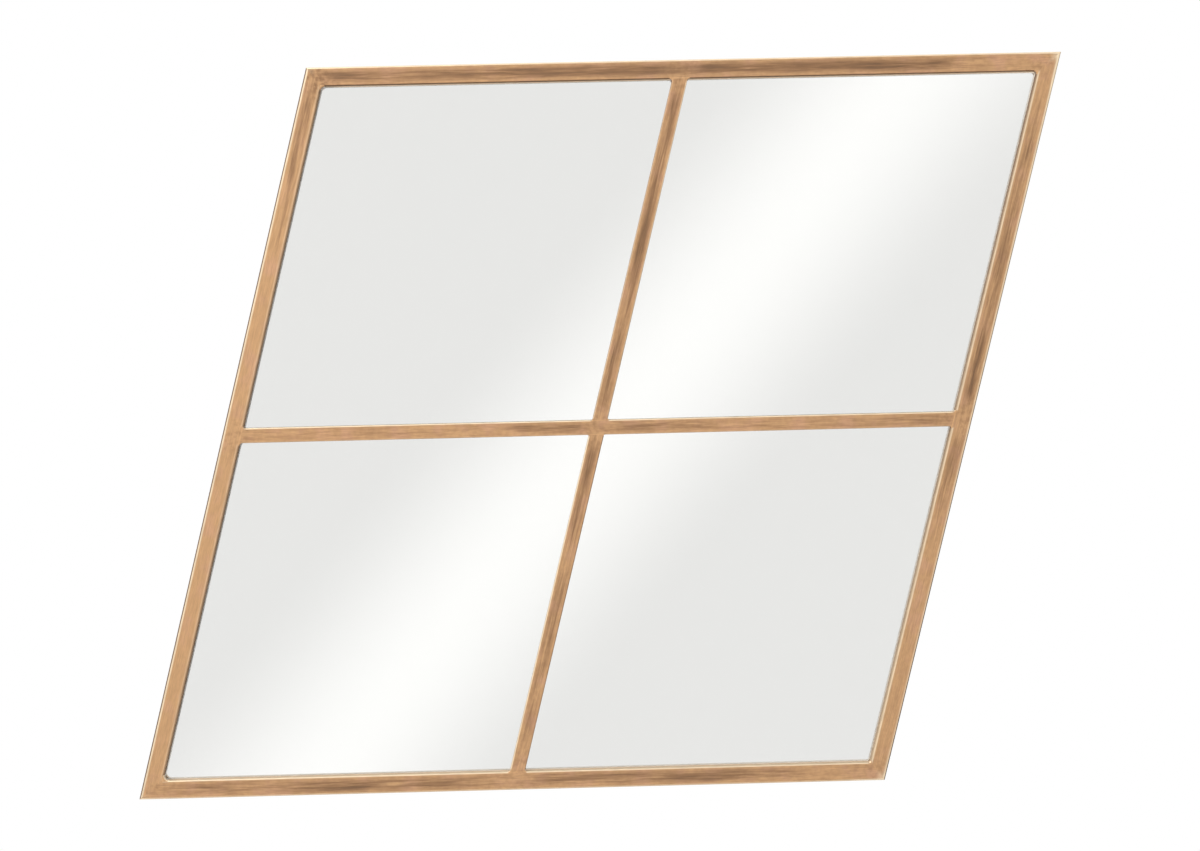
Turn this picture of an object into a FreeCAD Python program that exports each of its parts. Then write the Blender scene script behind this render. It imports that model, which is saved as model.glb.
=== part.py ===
import FreeCAD, Part

import math
import os

import Sketcher
from FreeCAD import Vector

# Leaning wall mirror: a rhombus of welded square tube with a cross of flat bar across one sheet of
# mirror glass, a backing board held by welded tabs, and two swinging hanger rings on the back.
# Millimetres and degrees. X runs along the rails, Z is up, and the wall is the plane Y = 0, so the
# front faces -Y. The origin is on the wall, behind the middle of the mirror.

doc = FreeCAD.newDocument("leaning_mirror")

X_AXIS = Vector(1, 0, 0)
Y_AXIS = Vector(0, 1, 0)
FRONT = "XZ_Plane"
SIDE = "YZ_Plane"
CORNER_SIGNS = [(-1, -1), (1, -1), (1, 1), (-1, 1)]
TAPE_STRIPS = 5
# Tolerances for telling edges apart
PARALLEL = 1e-6
SAME_PLACE = 1e-4

SIZES = {
    # Frame: four equal lengths of square tube, mitred into a rhombus that leans to the right
    "side_length": 762.0,
    "corner_angle": 75.45,
    "tube_size": 19.0,
    "tube_wall": 1.2,
    "tube_edge_radius": 1.5,
    # Cross: flat bar, flush with the front of the tube
    "bar_width": 15.0,
    "bar_thickness": 5.0,
    "bar_edge_radius": 0.8,
    # Welds: hollow fillets in the corners that the front shows
    "corner_weld_radius": 5.0,
    "bar_weld_radius": 3.0,
    "crossing_weld_radius": 1.5,
    # Mirror glass, one sheet behind the cross
    "glass_thickness": 4.0,
    "glass_gap": 0.4,
    "glass_corner_radius": 2.0,
    "glass_arris": 0.3,
    # Double-sided foam tape between the glass and the board
    "tape_thickness": 1.0,
    "tape_width": 25.0,
    "tape_end_margin": 60.0,
    "tape_edge_margin": 36.0,
    # Backing board
    "board_thickness": 5.0,
    "board_gap": 1.0,
    # Tabs: steel lugs welded inside the tube, two on each side, which hold the board
    "tab_spacing": 380.0,
    "tab_width": 20.0,
    "tab_reach": 16.0,
    "tab_thickness": 1.5,
    "tab_corner_radius": 3.0,
    "tab_hole_reach": 9.0,
    # Pan-head screws, through the tabs into the board
    "tab_screw_radius": 1.75,
    "tab_screw_head_radius": 3.4,
    "tab_screw_head_height": 1.8,
    "tab_screw_rim_height": 0.6,
    # Screw points and the cross cut into every head
    "screw_point_length": 1.2,
    "screw_point_radius": 0.6,
    "recess_span": 3.4,
    "recess_width": 0.9,
    "recess_depth": 0.9,
    # Hangers: the height of frame above the ring pivots, and their spacing from the left stile
    "hanger_height": 80.0,
    "hanger_spacing": 60.0,
    # Hanger straps: steel strap, curled at the top round the straight leg of a D-shaped ring
    "strap_width": 14.0,
    "strap_length": 44.0,
    "strap_thickness": 1.2,
    "strap_end_radius": 5.0,
    "curl_tip_angle": 110.0,
    "strap_hole_pitch": 18.0,
    "strap_hole_margin": 7.0,
    # Countersunk screws, through the straps into the board
    "strap_screw_radius": 1.5,
    "strap_screw_head_radius": 2.6,
    # Hanger rings: round wire, a straight leg in the curl, two short sides and a half round
    "ring_wire_radius": 1.5,
    "ring_bend_radius": 2.5,
    "ring_side_length": 4.5,
    # Wall pads: soft discs that keep the frame off the wall
    "pad_radius": 6.0,
    "pad_thickness": 3.0,
    "pad_edge_radius": 0.8,
    "pad_corner_distance": 40.0,
    # Fits and allowances
    "hole_clearance": 0.25,
    "countersink_clearance": 0.05,
    "pilot_clearance": 0.05,
    "pilot_skin": 0.4,
    "screw_skin": 1.0,
    "ring_play": 0.3,
    "ring_side_play": 1.5,
    "cut_overrun": 5.0,
}

# Sizes that follow from the driving ones. A depth is a distance from the wall; a skew size is one
# measured along a side of the rhombus; half sizes run from the middle of the mirror.
DERIVED = {
    "half_side": "size.side_length / 2",
    "tube_skew": "size.tube_size / sin(size.corner_angle)",
    "inner_half": "derived.half_side - derived.tube_skew",
    "bar_half": "size.bar_width / 2 / sin(size.corner_angle)",
    "glass_half": "derived.inner_half - size.glass_gap / sin(size.corner_angle)",
    "board_half": "derived.inner_half - size.board_gap / sin(size.corner_angle)",
    "frame_front": "size.pad_thickness + size.tube_size",
    "glass_front": "derived.frame_front - size.bar_thickness",
    "glass_back": "derived.glass_front - size.glass_thickness",
    "board_front": "derived.glass_back - size.tape_thickness",
    "board_back": "derived.board_front - size.board_thickness",
    "tab_back": "derived.board_back - size.tab_thickness",
    "tape_rise": "derived.glass_half * sin(size.corner_angle) - size.tape_edge_margin - size.tape_width / 2",
    "pilot_depth": "size.board_thickness - size.pilot_skin",
    "tab_screw_length": "size.tab_thickness + size.board_thickness - size.screw_skin",
    "strap_screw_length": "size.strap_thickness + size.board_thickness - size.screw_skin",
    "curl_inner": "size.ring_wire_radius + size.ring_play",
    "curl_outer": "derived.curl_inner + size.strap_thickness",
    "pivot_depth": "derived.board_back - derived.curl_outer",
    "pivot_rise": "derived.inner_half * sin(size.corner_angle) - size.hanger_height",
    "pivot_lean": "derived.pivot_rise / tan(size.corner_angle)",
    "pivot_half": "derived.inner_half - derived.pivot_lean - size.hanger_spacing",
    "ring_half": "size.strap_width / 2 + size.ring_side_play + size.ring_wire_radius",
    "ring_reach": "size.ring_bend_radius + size.ring_side_length + derived.ring_half",
    "hole_first": "size.strap_length - size.strap_hole_margin - size.strap_hole_pitch",
    "hole_last": "size.strap_length - size.strap_hole_margin",
}


def fill_sheet(name, cells, prefix=""):
    """Write one row per size: its name, and its value or formula under that alias."""
    sheet = doc.addObject("Spreadsheet::Sheet", name)
    for row, (alias, content) in enumerate(cells.items(), start=1):
        sheet.set(f"A{row}", alias)
        sheet.set(f"B{row}", f"{prefix}{content}")
        sheet.setAlias(f"B{row}", alias)
    doc.recompute()
    return sheet


size_sheet = fill_sheet("size", SIZES)
derived_sheet = fill_sheet("derived", DERIVED, prefix="=")


def value(formula):
    """The present value of a formula of sheet sizes."""
    return float(derived_sheet.evalExpression(formula))


def across(along_rail, along_stile):
    """Formulas of X and Z at distances from the middle along the rail and along the stile."""
    return (
        f"({along_rail}) + ({along_stile}) * cos(size.corner_angle)",
        f"({along_stile}) * sin(size.corner_angle)",
    )


# The four sides of the frame. Each is turned about Y so that its own X runs along the tube and its
# own Z points into the frame. middle gives the middle of the side for a half size, and along the
# direction of its own X, both as shares of the rail and stile directions.
SIDES = {
    "bottom": {"turn": "0", "middle": (0, -1), "along": (1, 0)},
    "right": {"turn": "-size.corner_angle", "middle": (1, 0), "along": (0, 1)},
    "top": {"turn": "180", "middle": (0, 1), "along": (-1, 0)},
    "left": {"turn": "180 - size.corner_angle", "middle": (-1, 0), "along": (0, -1)},
}


def place(piece, x, depth, z, turn="0"):
    """Bind the Placement: a point at a depth in front of the wall, and a turn about Y."""
    piece.setExpression(
        "Placement",
        f"placement(vector({x}; -({depth}); {z}); rotation(vector(0; 1; 0); {turn}))",
    )


def place_on_side(piece, side, half, along, depth):
    """Stand a piece on a side's line at a half size, some way along it and at a depth."""
    spec = SIDES[side]
    rail, stile = (
        f"({half}) * {middle} + ({along}) * {step}"
        for middle, step in zip(spec["middle"], spec["along"])
    )
    x, z = across(rail, stile)
    place(piece, x, depth, z, spec["turn"])


def new_body(label):
    """An empty body whose label is the name of its file."""
    body = doc.addObject("PartDesign::Body", label)
    body.Label = label
    return body


def new_sketch(body, name, role, offset="0"):
    """A sketch on one of the body's own origin planes, moved along that plane's normal."""
    sketch = body.newObject("Sketcher::SketchObject", f"{body.Name}_{name}")
    plane = next(f for f in body.Origin.OriginFeatures if f.Role == role)
    sketch.AttachmentSupport = (plane, [""])
    sketch.MapMode = "FlatFace"
    sketch.setExpression("AttachmentOffset.Base.z", offset)
    return sketch


def bind(sketch, kind, references, formula):
    """Add a dimension to the sketch and bind it to a formula."""
    index = sketch.addConstraint(Sketcher.Constraint(kind, *references, value(formula)))
    sketch.setExpression(f"Constraints[{index}]", formula)


def arc_between(start, end, radius):
    """The shorter arc between two points; a positive radius turns to the left."""
    chord = end - start
    left = Vector(-chord.y, chord.x, 0).normalize()
    rise = math.sqrt(max(radius**2 - (chord.Length / 2) ** 2, 0))
    centre = (start + end) / 2 + left * math.copysign(rise, radius)
    low, high = (start, end) if radius > 0 else (end, start)
    angles = [math.atan2(p.y - centre.y, p.x - centre.x) for p in (low, high)]
    circle = Part.Circle(centre, Vector(0, 0, 1), abs(radius))
    return Part.ArcOfCircle(circle, *angles)


def draw_outline(sketch, corners, arcs=None):
    """Draw a closed outline through corners given as formulas.

    arcs maps a corner's number to the radius formula and the turn (1 left, -1 right) of the arc
    that leaves it; every other edge is straight.
    """
    arcs = arcs or {}
    points = [Vector(value(x), value(y), 0) for x, y in corners]
    count = len(points)
    first = sketch.GeometryCount
    heads, tails = [], []
    for number, point in enumerate(points):
        following = points[(number + 1) % count]
        if number in arcs:
            radius, turn = arcs[number]
            sketch.addGeometry(arc_between(point, following, turn * value(radius)))
            heads.append(1 if turn > 0 else 2)
        else:
            sketch.addGeometry(Part.LineSegment(point, following))
            heads.append(1)
        tails.append(3 - heads[-1])
    for number, (x, y) in enumerate(corners):
        edge = first + number
        following = first + (number + 1) % count
        sketch.addConstraint(
            Sketcher.Constraint("Coincident", edge, tails[number], following, heads[(number + 1) % count])
        )
        bind(sketch, "DistanceX", (-1, 1, edge, heads[number]), x)
        bind(sketch, "DistanceY", (-1, 1, edge, heads[number]), y)
        if number in arcs:
            bind(sketch, "Radius", (edge,), arcs[number][0])


def draw_circle(sketch, x, y, radius):
    """Draw a circle whose centre and radius are formulas."""
    centre = Vector(value(x), value(y), 0)
    index = sketch.addGeometry(Part.Circle(centre, Vector(0, 0, 1), value(radius)))
    bind(sketch, "DistanceX", (-1, 1, index, 3), x)
    bind(sketch, "DistanceY", (-1, 1, index, 3), y)
    bind(sketch, "Radius", (index,), radius)


def pad(body, sketch, length, symmetric=False):
    """Add the sketch's area to the body along the sketch's normal."""
    feature = body.newObject("PartDesign::Pad", f"{sketch.Name}_pad")
    feature.Profile = sketch
    feature.SideType = "Symmetric" if symmetric else "One side"
    feature.setExpression("Length", length)
    doc.recompute()
    return feature


def pocket(body, sketch, depth=None):
    """Cut the sketch's area to a depth along the sketch's normal, or through all both ways."""
    before = body.Shape.Volume
    feature = body.newObject("PartDesign::Pocket", f"{sketch.Name}_pocket")
    feature.Profile = sketch
    if depth is None:
        feature.Type = "ThroughAll"
        feature.SideType = "Symmetric"
    else:
        feature.Reversed = True
        feature.setExpression("Length", depth)
    doc.recompute()
    if not body.Shape.Volume < before:
        raise RuntimeError(f"{feature.Name} cuts nothing")
    return feature


def round_edges(body, radius, wanted):
    """Fillet the edges that a test picks from the body's present shape."""
    names = [f"Edge{i}" for i, edge in enumerate(body.Shape.Edges, start=1) if wanted(edge)]
    feature = body.newObject("PartDesign::Fillet", f"{body.Name}_round")
    feature.Base = (feature.BaseFeature, names)
    feature.setExpression("Radius", radius)
    doc.recompute()
    return feature


def runs_along(edge, direction):
    """Whether a straight edge is parallel to a direction."""
    if edge.Curve.TypeId != "Part::GeomLine":
        return False
    return edge.Curve.Direction.cross(direction).Length < PARALLEL


def at_depth(edge, depth):
    """Whether an edge lies in the plane at a depth in front of the wall."""
    box = edge.BoundBox
    return abs(box.YMin + depth) < SAME_PLACE and abs(box.YMax + depth) < SAME_PLACE


def crosses_plate_at(height):
    """A test for the short edges through a plate whose upper or lower end is at a height."""

    def wanted(edge):
        box = edge.BoundBox
        near = min(abs(box.ZMin - height), abs(box.ZMax - height))
        return runs_along(edge, Y_AXIS) and near < SAME_PLACE

    return wanted


def flat_piece(label, outlines, back, thickness):
    """A plate, or several in one plane: outlines padded forward from a depth."""
    body = new_body(label)
    sketch = new_sketch(body, "outline", FRONT, back)
    for outline in outlines:
        draw_outline(sketch, *outline)
    pad(body, sketch, thickness)
    return body


def rhombus(half):
    """The corners of a rhombus about the middle, lower left first."""
    return [across(f"{u} * ({half})", f"{v} * ({half})") for u, v in CORNER_SIGNS]


# Frame


def mitred_tube(label, side, start_mitre, end_mitre):
    """Square tube with rounded edges, its ends cut to the mitres of the rhombus."""
    tube = new_body(label)
    width, wall = "size.tube_size", "size.tube_wall"
    section = new_sketch(tube, "section", SIDE)
    draw_outline(section, [(f"-{width}", "0"), ("0", "0"), ("0", width), (f"-{width}", width)])
    pad(tube, section, "size.side_length", symmetric=True)
    round_edges(tube, "size.tube_edge_radius", lambda edge: runs_along(edge, X_AXIS))
    bore = new_sketch(tube, "bore", SIDE)
    near, far = wall, f"{width} - {wall}"
    draw_outline(bore, [(f"-({far})", near), (f"-{near}", near), (f"-{near}", far), (f"-({far})", far)])
    pocket(tube, bore)
    mitres = new_sketch(tube, "mitres", FRONT)
    for sign, mitre in ((-1, start_mitre), (1, end_mitre)):
        outside = f"{sign} * (derived.half_side + size.cut_overrun / tan({mitre}))"
        inside = f"{sign} * (derived.half_side - ({width} + size.cut_overrun) / tan({mitre}))"
        above = f"{width} + size.cut_overrun"
        draw_outline(mitres, [(outside, "-size.cut_overrun"), (inside, above), (outside, above)])
    pocket(tube, mitres)
    place_on_side(tube, side, "derived.half_side", "0", "size.pad_thickness")
    return tube


def flat_bar(label, corners, direction):
    """Flat bar with its two front edges rounded."""
    bar = flat_piece(label, [(corners,)], "derived.glass_front", "size.bar_thickness")
    front = value("derived.frame_front")
    radius = "size.bar_edge_radius"
    round_edges(bar, radius, lambda edge: runs_along(edge, direction) and at_depth(edge, front))
    return bar


def make_bars():
    """The crossbar runs right through; the upright is in two halves, cut to the crossbar."""
    half, inner = "derived.bar_half", "derived.inner_half"
    lean = math.radians(value("size.corner_angle"))
    stile_axis = Vector(math.cos(lean), 0, math.sin(lean))
    cross = [across(f"{u} * {inner}", f"{v} * {half}") for u, v in CORNER_SIGNS]
    upper = [across(f"{u} * {half}", half if v < 0 else inner) for u, v in CORNER_SIGNS]
    lower = [across(f"{u} * {half}", f"-{inner}" if v < 0 else f"-{half}") for u, v in CORNER_SIGNS]
    return [
        flat_bar("crossbar", cross, X_AXIS),
        flat_bar("upper_upright_bar", upper, stile_axis),
        flat_bar("lower_upright_bar", lower, stile_axis),
    ]


def weld_fillet(u, v, u_way, v_way, radius):
    """A hollow fillet in a corner at (u, v) whose faces run the given ways along rail and stile."""
    opening = "size.corner_angle" if u_way * v_way > 0 else "(180 - size.corner_angle)"
    reach = f"{radius} / tan({opening} / 2)"
    corner = across(u, v)
    on_rail = across(f"({u}) + {u_way} * {reach}", v)
    on_stile = across(u, f"({v}) + {v_way} * {reach}")
    turn = -u_way * v_way
    return [corner, on_rail, on_stile], {1: (radius, turn)}


def make_welds():
    """Weld metal behind the rounded front edges: frame corners, bar ends and the crossing."""
    inner, half = "derived.inner_half", "derived.bar_half"
    depth = "size.bar_thickness - size.tube_edge_radius"
    frame_corners = [
        weld_fillet(f"{u} * {inner}", f"{v} * {inner}", -u, -v, "size.corner_weld_radius")
        for u, v in CORNER_SIGNS
    ]
    crossbar_ends = [
        weld_fillet(f"{u} * {inner}", f"{v} * {half}", -u, v, "size.bar_weld_radius")
        for u, v in CORNER_SIGNS
    ]
    upright_ends = [
        weld_fillet(f"{u} * {half}", f"{v} * {inner}", u, -v, "size.bar_weld_radius")
        for u, v in CORNER_SIGNS
    ]
    crossing = [
        weld_fillet(f"{u} * {half}", f"{v} * {half}", u, v, "size.crossing_weld_radius")
        for u, v in CORNER_SIGNS
    ]
    return [
        flat_piece("corner_welds", frame_corners, "derived.glass_front", depth),
        flat_piece("bar_end_welds", crossbar_ends + upright_ends, "derived.glass_front", depth),
        flat_piece("crossing_welds", crossing, "derived.glass_front", depth),
    ]


# Glass, tape and board


def make_glass():
    """One sheet of mirror glass, its corners nipped and its edges ground to an arris."""
    outline = [(rhombus("derived.glass_half"),)]
    glass = flat_piece("mirror_glass", outline, "derived.glass_back", "size.glass_thickness")
    round_edges(glass, "size.glass_corner_radius", lambda edge: runs_along(edge, Y_AXIS))
    faces = [f"Face{i}" for i, face in enumerate(glass.Shape.Faces, start=1) if faces_wall(face)]
    arris = glass.newObject("PartDesign::Chamfer", "mirror_glass_arris")
    arris.Base = (arris.BaseFeature, faces)
    arris.setExpression("Size", "size.glass_arris")
    doc.recompute()
    return glass


def faces_wall(face):
    """Whether a face is one of the two broad ones, parallel to the wall."""
    return abs(face.normalAt(0, 0).y) > 1 - PARALLEL


def make_tape():
    """Level strips of foam tape, evenly spaced and stepped along the lean."""
    half_length = "(derived.glass_half - size.tape_end_margin)"
    strips = []
    for number in range(TAPE_STRIPS):
        rise_share = 2 * number / (TAPE_STRIPS - 1) - 1
        corners = []
        for u, v in CORNER_SIGNS:
            height = f"{rise_share} * derived.tape_rise + {v} * size.tape_width / 2"
            corners.append(across(f"{u} * {half_length}", f"({height}) / sin(size.corner_angle)"))
        strips.append((corners,))
    return flat_piece("foam_tape_strips", strips, "derived.board_front", "size.tape_thickness")


def tab_screw_places():
    """Where the tab screws stand: side, and distance along it."""
    return [(side, f"{sign} * size.tab_spacing / 2") for side in SIDES for sign in (-1, 1)]


def tab_screw_point(side, along):
    """Formulas of X and Z at a tab screw."""
    half = "(derived.inner_half - size.tab_hole_reach / sin(size.corner_angle))"
    spec = SIDES[side]
    # The foot of the perpendicular from the screw to its tube is offset along the tube
    lean = "size.tab_hole_reach / tan(size.corner_angle)"
    shift = {"bottom": f"-({lean})", "top": f"-({lean})", "right": lean, "left": lean}[side]
    rail, stile = (
        f"{half} * {middle} + ({along} + {shift}) * {step}"
        for middle, step in zip(spec["middle"], spec["along"])
    )
    return across(rail, stile)


def strap_hole_points():
    """Formulas of X and Z at the strap screws, in the two straps."""
    return [
        (f"{sign} * derived.pivot_half", f"derived.pivot_rise - {drop}")
        for sign in (-1, 1)
        for drop in ("derived.hole_first", "derived.hole_last")
    ]


def make_board():
    """Backing board with blind pilot holes for the tab screws and the strap screws."""
    outline = [(rhombus("derived.board_half"),)]
    board = flat_piece("backing_board", outline, "derived.board_back", "size.board_thickness")
    pilots = new_sketch(board, "pilots", FRONT, "derived.board_back")
    for side, along in tab_screw_places():
        draw_circle(pilots, *tab_screw_point(side, along), "size.tab_screw_radius + size.pilot_clearance")
    for x, z in strap_hole_points():
        draw_circle(pilots, x, z, "size.strap_screw_radius + size.pilot_clearance")
    pocket(board, pilots, "derived.pilot_depth")
    return board


# Tabs


def tab(label, side, along):
    """A steel lug whose straight edge is welded to the inside of its tube."""
    lug = new_body(label)
    half, reach = "size.tab_width / 2", "size.tab_reach"
    plate = new_sketch(lug, "outline", FRONT)
    draw_outline(plate, [(f"-{half}", "0"), (half, "0"), (half, reach), (f"-{half}", reach)])
    pad(lug, plate, "size.tab_thickness")
    round_edges(lug, "size.tab_corner_radius", crosses_plate_at(value(reach)))
    hole = new_sketch(lug, "hole", FRONT)
    draw_circle(hole, "0", "size.tab_hole_reach", "size.tab_screw_radius + size.hole_clearance")
    pocket(lug, hole)
    place_on_side(lug, side, "derived.inner_half", along, "derived.tab_back")
    return lug


def make_tabs():
    """Two tabs on each side of the frame, numbered along each side."""
    return [
        tab(f"{side}_tab_{number}", side, f"{sign} * size.tab_spacing / 2")
        for side in SIDES
        for number, sign in ((1, -1), (2, 1))
    ]


# Screws


def cross_recess(screw, depth):
    """Cut a cross into a screw head, inwards from a plane at a depth."""
    recess = new_sketch(screw, "recess", FRONT, depth)
    arm, half = "size.recess_span / 2", "size.recess_width / 2"
    quarter = [(arm, half), (half, half), (half, arm)]
    corners = []
    for x_sign, z_sign in ((1, 1), (-1, 1), (-1, -1), (1, -1)):
        points = [(f"{x_sign} * {x}", f"{z_sign} * {z}") for x, z in quarter]
        corners += points if x_sign * z_sign > 0 else points[::-1]
    draw_outline(recess, corners)
    pocket(screw, recess, "size.recess_depth")


def turned_screw(label, profile, head_top, arcs=None):
    """A screw on its own Y axis, its point towards -Y and its seat at the origin."""
    screw = new_body(label)
    sketch = new_sketch(screw, "profile", "XY_Plane")
    draw_outline(sketch, profile, arcs)
    turning = screw.newObject("PartDesign::Revolution", f"{label}_turning")
    turning.Profile = sketch
    turning.ReferenceAxis = (sketch, ["V_Axis"])
    doc.recompute()
    cross_recess(screw, head_top)
    return screw


def pan_head_screw():
    """The screw that holds a tab to the board."""
    shank, head = "size.tab_screw_radius", "size.tab_screw_head_radius"
    rim, height = "size.tab_screw_rim_height", "size.tab_screw_head_height"
    crown = f"({height} - {rim})"
    profile = [
        ("0", "-derived.tab_screw_length"),
        ("size.screw_point_radius", "-derived.tab_screw_length"),
        (shank, "-(derived.tab_screw_length - size.screw_point_length)"),
        (shank, "0"),
        (head, "0"),
        (head, rim),
        (f"{head} - {crown}", height),
        ("0", height),
    ]
    return turned_screw("pan_head_screw", profile, f"-{height}", {5: (crown, 1)})


def countersunk_screw():
    """The screw that holds a strap to the board, its flat top at the origin."""
    shank, head = "size.strap_screw_radius", "size.strap_screw_head_radius"
    profile = [
        ("0", "-derived.strap_screw_length"),
        ("size.screw_point_radius", "-derived.strap_screw_length"),
        (shank, "-(derived.strap_screw_length - size.screw_point_length)"),
        (shank, f"-({head} - {shank})"),
        (head, "0"),
        ("0", "0"),
    ]
    return turned_screw("countersunk_screw", profile, "0")


def screw_group(label, screw, points, depth):
    """Identical screws as one group of separate solids, all at one depth."""
    copies = []
    for number, (x, z) in enumerate(points, start=1):
        copy = doc.addObject("App::Link", f"{label}_{number}")
        copy.LinkedObject = screw
        place(copy, x, depth, z)
        copies.append(copy)
    group = doc.addObject("Part::Compound", label)
    group.Label = label
    group.Links = copies
    return group


def make_screws():
    """The tab screws and the strap screws."""
    tab_points = [tab_screw_point(side, along) for side, along in tab_screw_places()]
    strap_depth = "derived.board_back - size.strap_thickness"
    return [
        screw_group("tab_screws", pan_head_screw(), tab_points, "derived.tab_back"),
        screw_group("strap_screws", countersunk_screw(), strap_hole_points(), strap_depth),
    ]


# Hangers


def hanger_strap(label, sign):
    """Strap with its top curled round the ring's leg; its own origin is the curl's axis."""
    strap = new_body(label)
    inner, outer = "derived.curl_inner", "derived.curl_outer"
    foot = "-size.strap_length"
    tip = "-(size.curl_tip_angle)"
    profile = new_sketch(strap, "profile", SIDE)
    corners = [
        (f"-{outer}", foot),
        (f"-{inner}", foot),
        (f"-{inner}", "0"),
        ("0", inner),
        (inner, "0"),
        (f"{inner} * cos({tip})", f"{inner} * sin({tip})"),
        (f"{outer} * cos({tip})", f"{outer} * sin({tip})"),
        (outer, "0"),
        ("0", outer),
        (f"-{outer}", "0"),
    ]
    inside = {number: (inner, -1) for number in (2, 3, 4)}
    outside = {number: (outer, 1) for number in (6, 7, 8)}
    draw_outline(profile, corners, inside | outside)
    pad(strap, profile, "size.strap_width", symmetric=True)
    round_edges(strap, "size.strap_end_radius", crosses_plate_at(value(foot)))
    countersinks(strap)
    place(strap, f"{sign} * derived.pivot_half", "derived.pivot_depth", "derived.pivot_rise")
    return strap


def countersinks(strap):
    """Cut the two countersunk screw holes into the strap by turning their section."""
    shank = "size.strap_screw_radius + size.hole_clearance"
    head = "size.strap_screw_head_radius + size.countersink_clearance"
    top, bottom = "-derived.curl_inner", "-derived.curl_outer"
    for number, drop in enumerate(("derived.hole_first", "derived.hole_last"), start=1):
        before = strap.Shape.Volume
        sketch = new_sketch(strap, f"hole_{number}", SIDE)
        axis = f"-{drop}"
        neck = f"{top} - ({head} - ({shank}))"
        corners = [
            (f"{bottom} - size.cut_overrun", axis),
            (f"{bottom} - size.cut_overrun", f"{axis} + {shank}"),
            (neck, f"{axis} + {shank}"),
            (top, f"{axis} + {head}"),
            (f"{top} + size.strap_thickness", f"{axis} + {head}"),
            (f"{top} + size.strap_thickness", axis),
        ]
        draw_outline(sketch, corners)
        groove = strap.newObject("PartDesign::Groove", f"{sketch.Name}_groove")
        groove.Profile = sketch
        groove.ReferenceAxis = (sketch, ["Edge6"])
        doc.recompute()
        if not strap.Shape.Volume < before:
            raise RuntimeError(f"{groove.Name} cuts nothing")


def hanger_ring(label, sign):
    """D-shaped wire ring, hanging down from its straight leg; its own origin is on the leg."""
    ring = new_body(label)
    half, bend, reach = "derived.ring_half", "size.ring_bend_radius", "derived.ring_reach"
    path = new_sketch(ring, "path", FRONT)
    corners = [
        ("0", "0"),
        (f"{half} - {bend}", "0"),
        (half, f"-{bend}"),
        (half, f"-({reach} - {half})"),
        ("0", f"-{reach}"),
        (f"-{half}", f"-({reach} - {half})"),
        (f"-{half}", f"-{bend}"),
        (f"-({half} - {bend})", "0"),
    ]
    arcs = {1: (bend, -1), 3: (half, -1), 4: (half, -1), 6: (bend, -1)}
    draw_outline(path, corners, arcs)
    section = new_sketch(ring, "section", SIDE)
    draw_circle(section, "0", "0", "size.ring_wire_radius")
    wire = ring.newObject("PartDesign::AdditivePipe", f"{label}_wire")
    wire.Profile = section
    wire.Spine = (path, [])
    doc.recompute()
    place(ring, f"{sign} * derived.pivot_half", "derived.pivot_depth", "derived.pivot_rise")
    return ring


# Wall pads


def wall_pad(label, side, sign):
    """A soft disc stuck to the back of a rail near its end, its wall edge rounded."""
    disc = new_body(label)
    sketch = new_sketch(disc, "outline", FRONT)
    draw_circle(sketch, "0", "size.tube_size / 2", "size.pad_radius")
    pad(disc, sketch, "size.pad_thickness")
    round_edges(disc, "size.pad_edge_radius", lambda edge: at_depth(edge, 0))
    along = f"{sign} * (derived.half_side - size.pad_corner_distance)"
    place_on_side(disc, side, "derived.half_side", along, "0")
    return disc


def make_frame():
    """The four tubes: each has an acute and an obtuse corner, so the mitres swap on the stiles."""
    acute, obtuse = "size.corner_angle / 2", "(90 - size.corner_angle / 2)"
    return [
        mitred_tube("bottom_rail", "bottom", acute, obtuse),
        mitred_tube("right_stile", "right", obtuse, acute),
        mitred_tube("top_rail", "top", acute, obtuse),
        mitred_tube("left_stile", "left", obtuse, acute),
    ]


def make_hangers():
    """A strap and a ring as far to each side of the middle, so that the mirror hangs level."""
    return [
        hanger_strap("left_hanger_strap", -1),
        hanger_ring("left_hanger_ring", -1),
        hanger_strap("right_hanger_strap", 1),
        hanger_ring("right_hanger_ring", 1),
    ]


def make_pads():
    """A wall pad near each corner of the frame."""
    return [
        wall_pad("lower_left_pad", "bottom", -1),
        wall_pad("lower_right_pad", "bottom", 1),
        wall_pad("upper_right_pad", "top", -1),
        wall_pad("upper_left_pad", "top", 1),
    ]


def check_document():
    """Stop if any object of the document failed to build."""
    for item in doc.Objects:
        if any(word in item.State for word in ("Invalid", "Error")):
            raise RuntimeError(f"{item.Name} did not build: {item.State}")


def write_parts(pieces):
    """Write each sub-part to a file named after its label, once all of them are sound."""
    for piece in pieces:
        if piece.Shape.isNull() or not piece.Shape.isValid():
            raise RuntimeError(f"{piece.Label} has no sound shape")
    os.makedirs("parts", exist_ok=True)
    for piece in pieces:
        piece.Shape.exportStep(f"parts/{piece.Label}.step")
        print(f"{piece.Label}: {len(piece.Shape.Solids)} solid(s), {piece.Shape.Volume:.0f} mm3")


pieces = make_frame() + make_bars() + make_welds()
pieces += [make_glass(), make_tape(), make_board()]
pieces += make_tabs() + make_hangers() + make_screws() + make_pads()
doc.recompute()
check_document()
write_parts(pieces)
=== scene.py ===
import logging
import math
from abc import ABC, abstractmethod
from collections.abc import Callable
from dataclasses import dataclass, field
from enum import Enum, IntEnum
from itertools import pairwise
from typing import ClassVar

import bmesh
import bpy
from mathutils import Matrix, Vector


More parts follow.
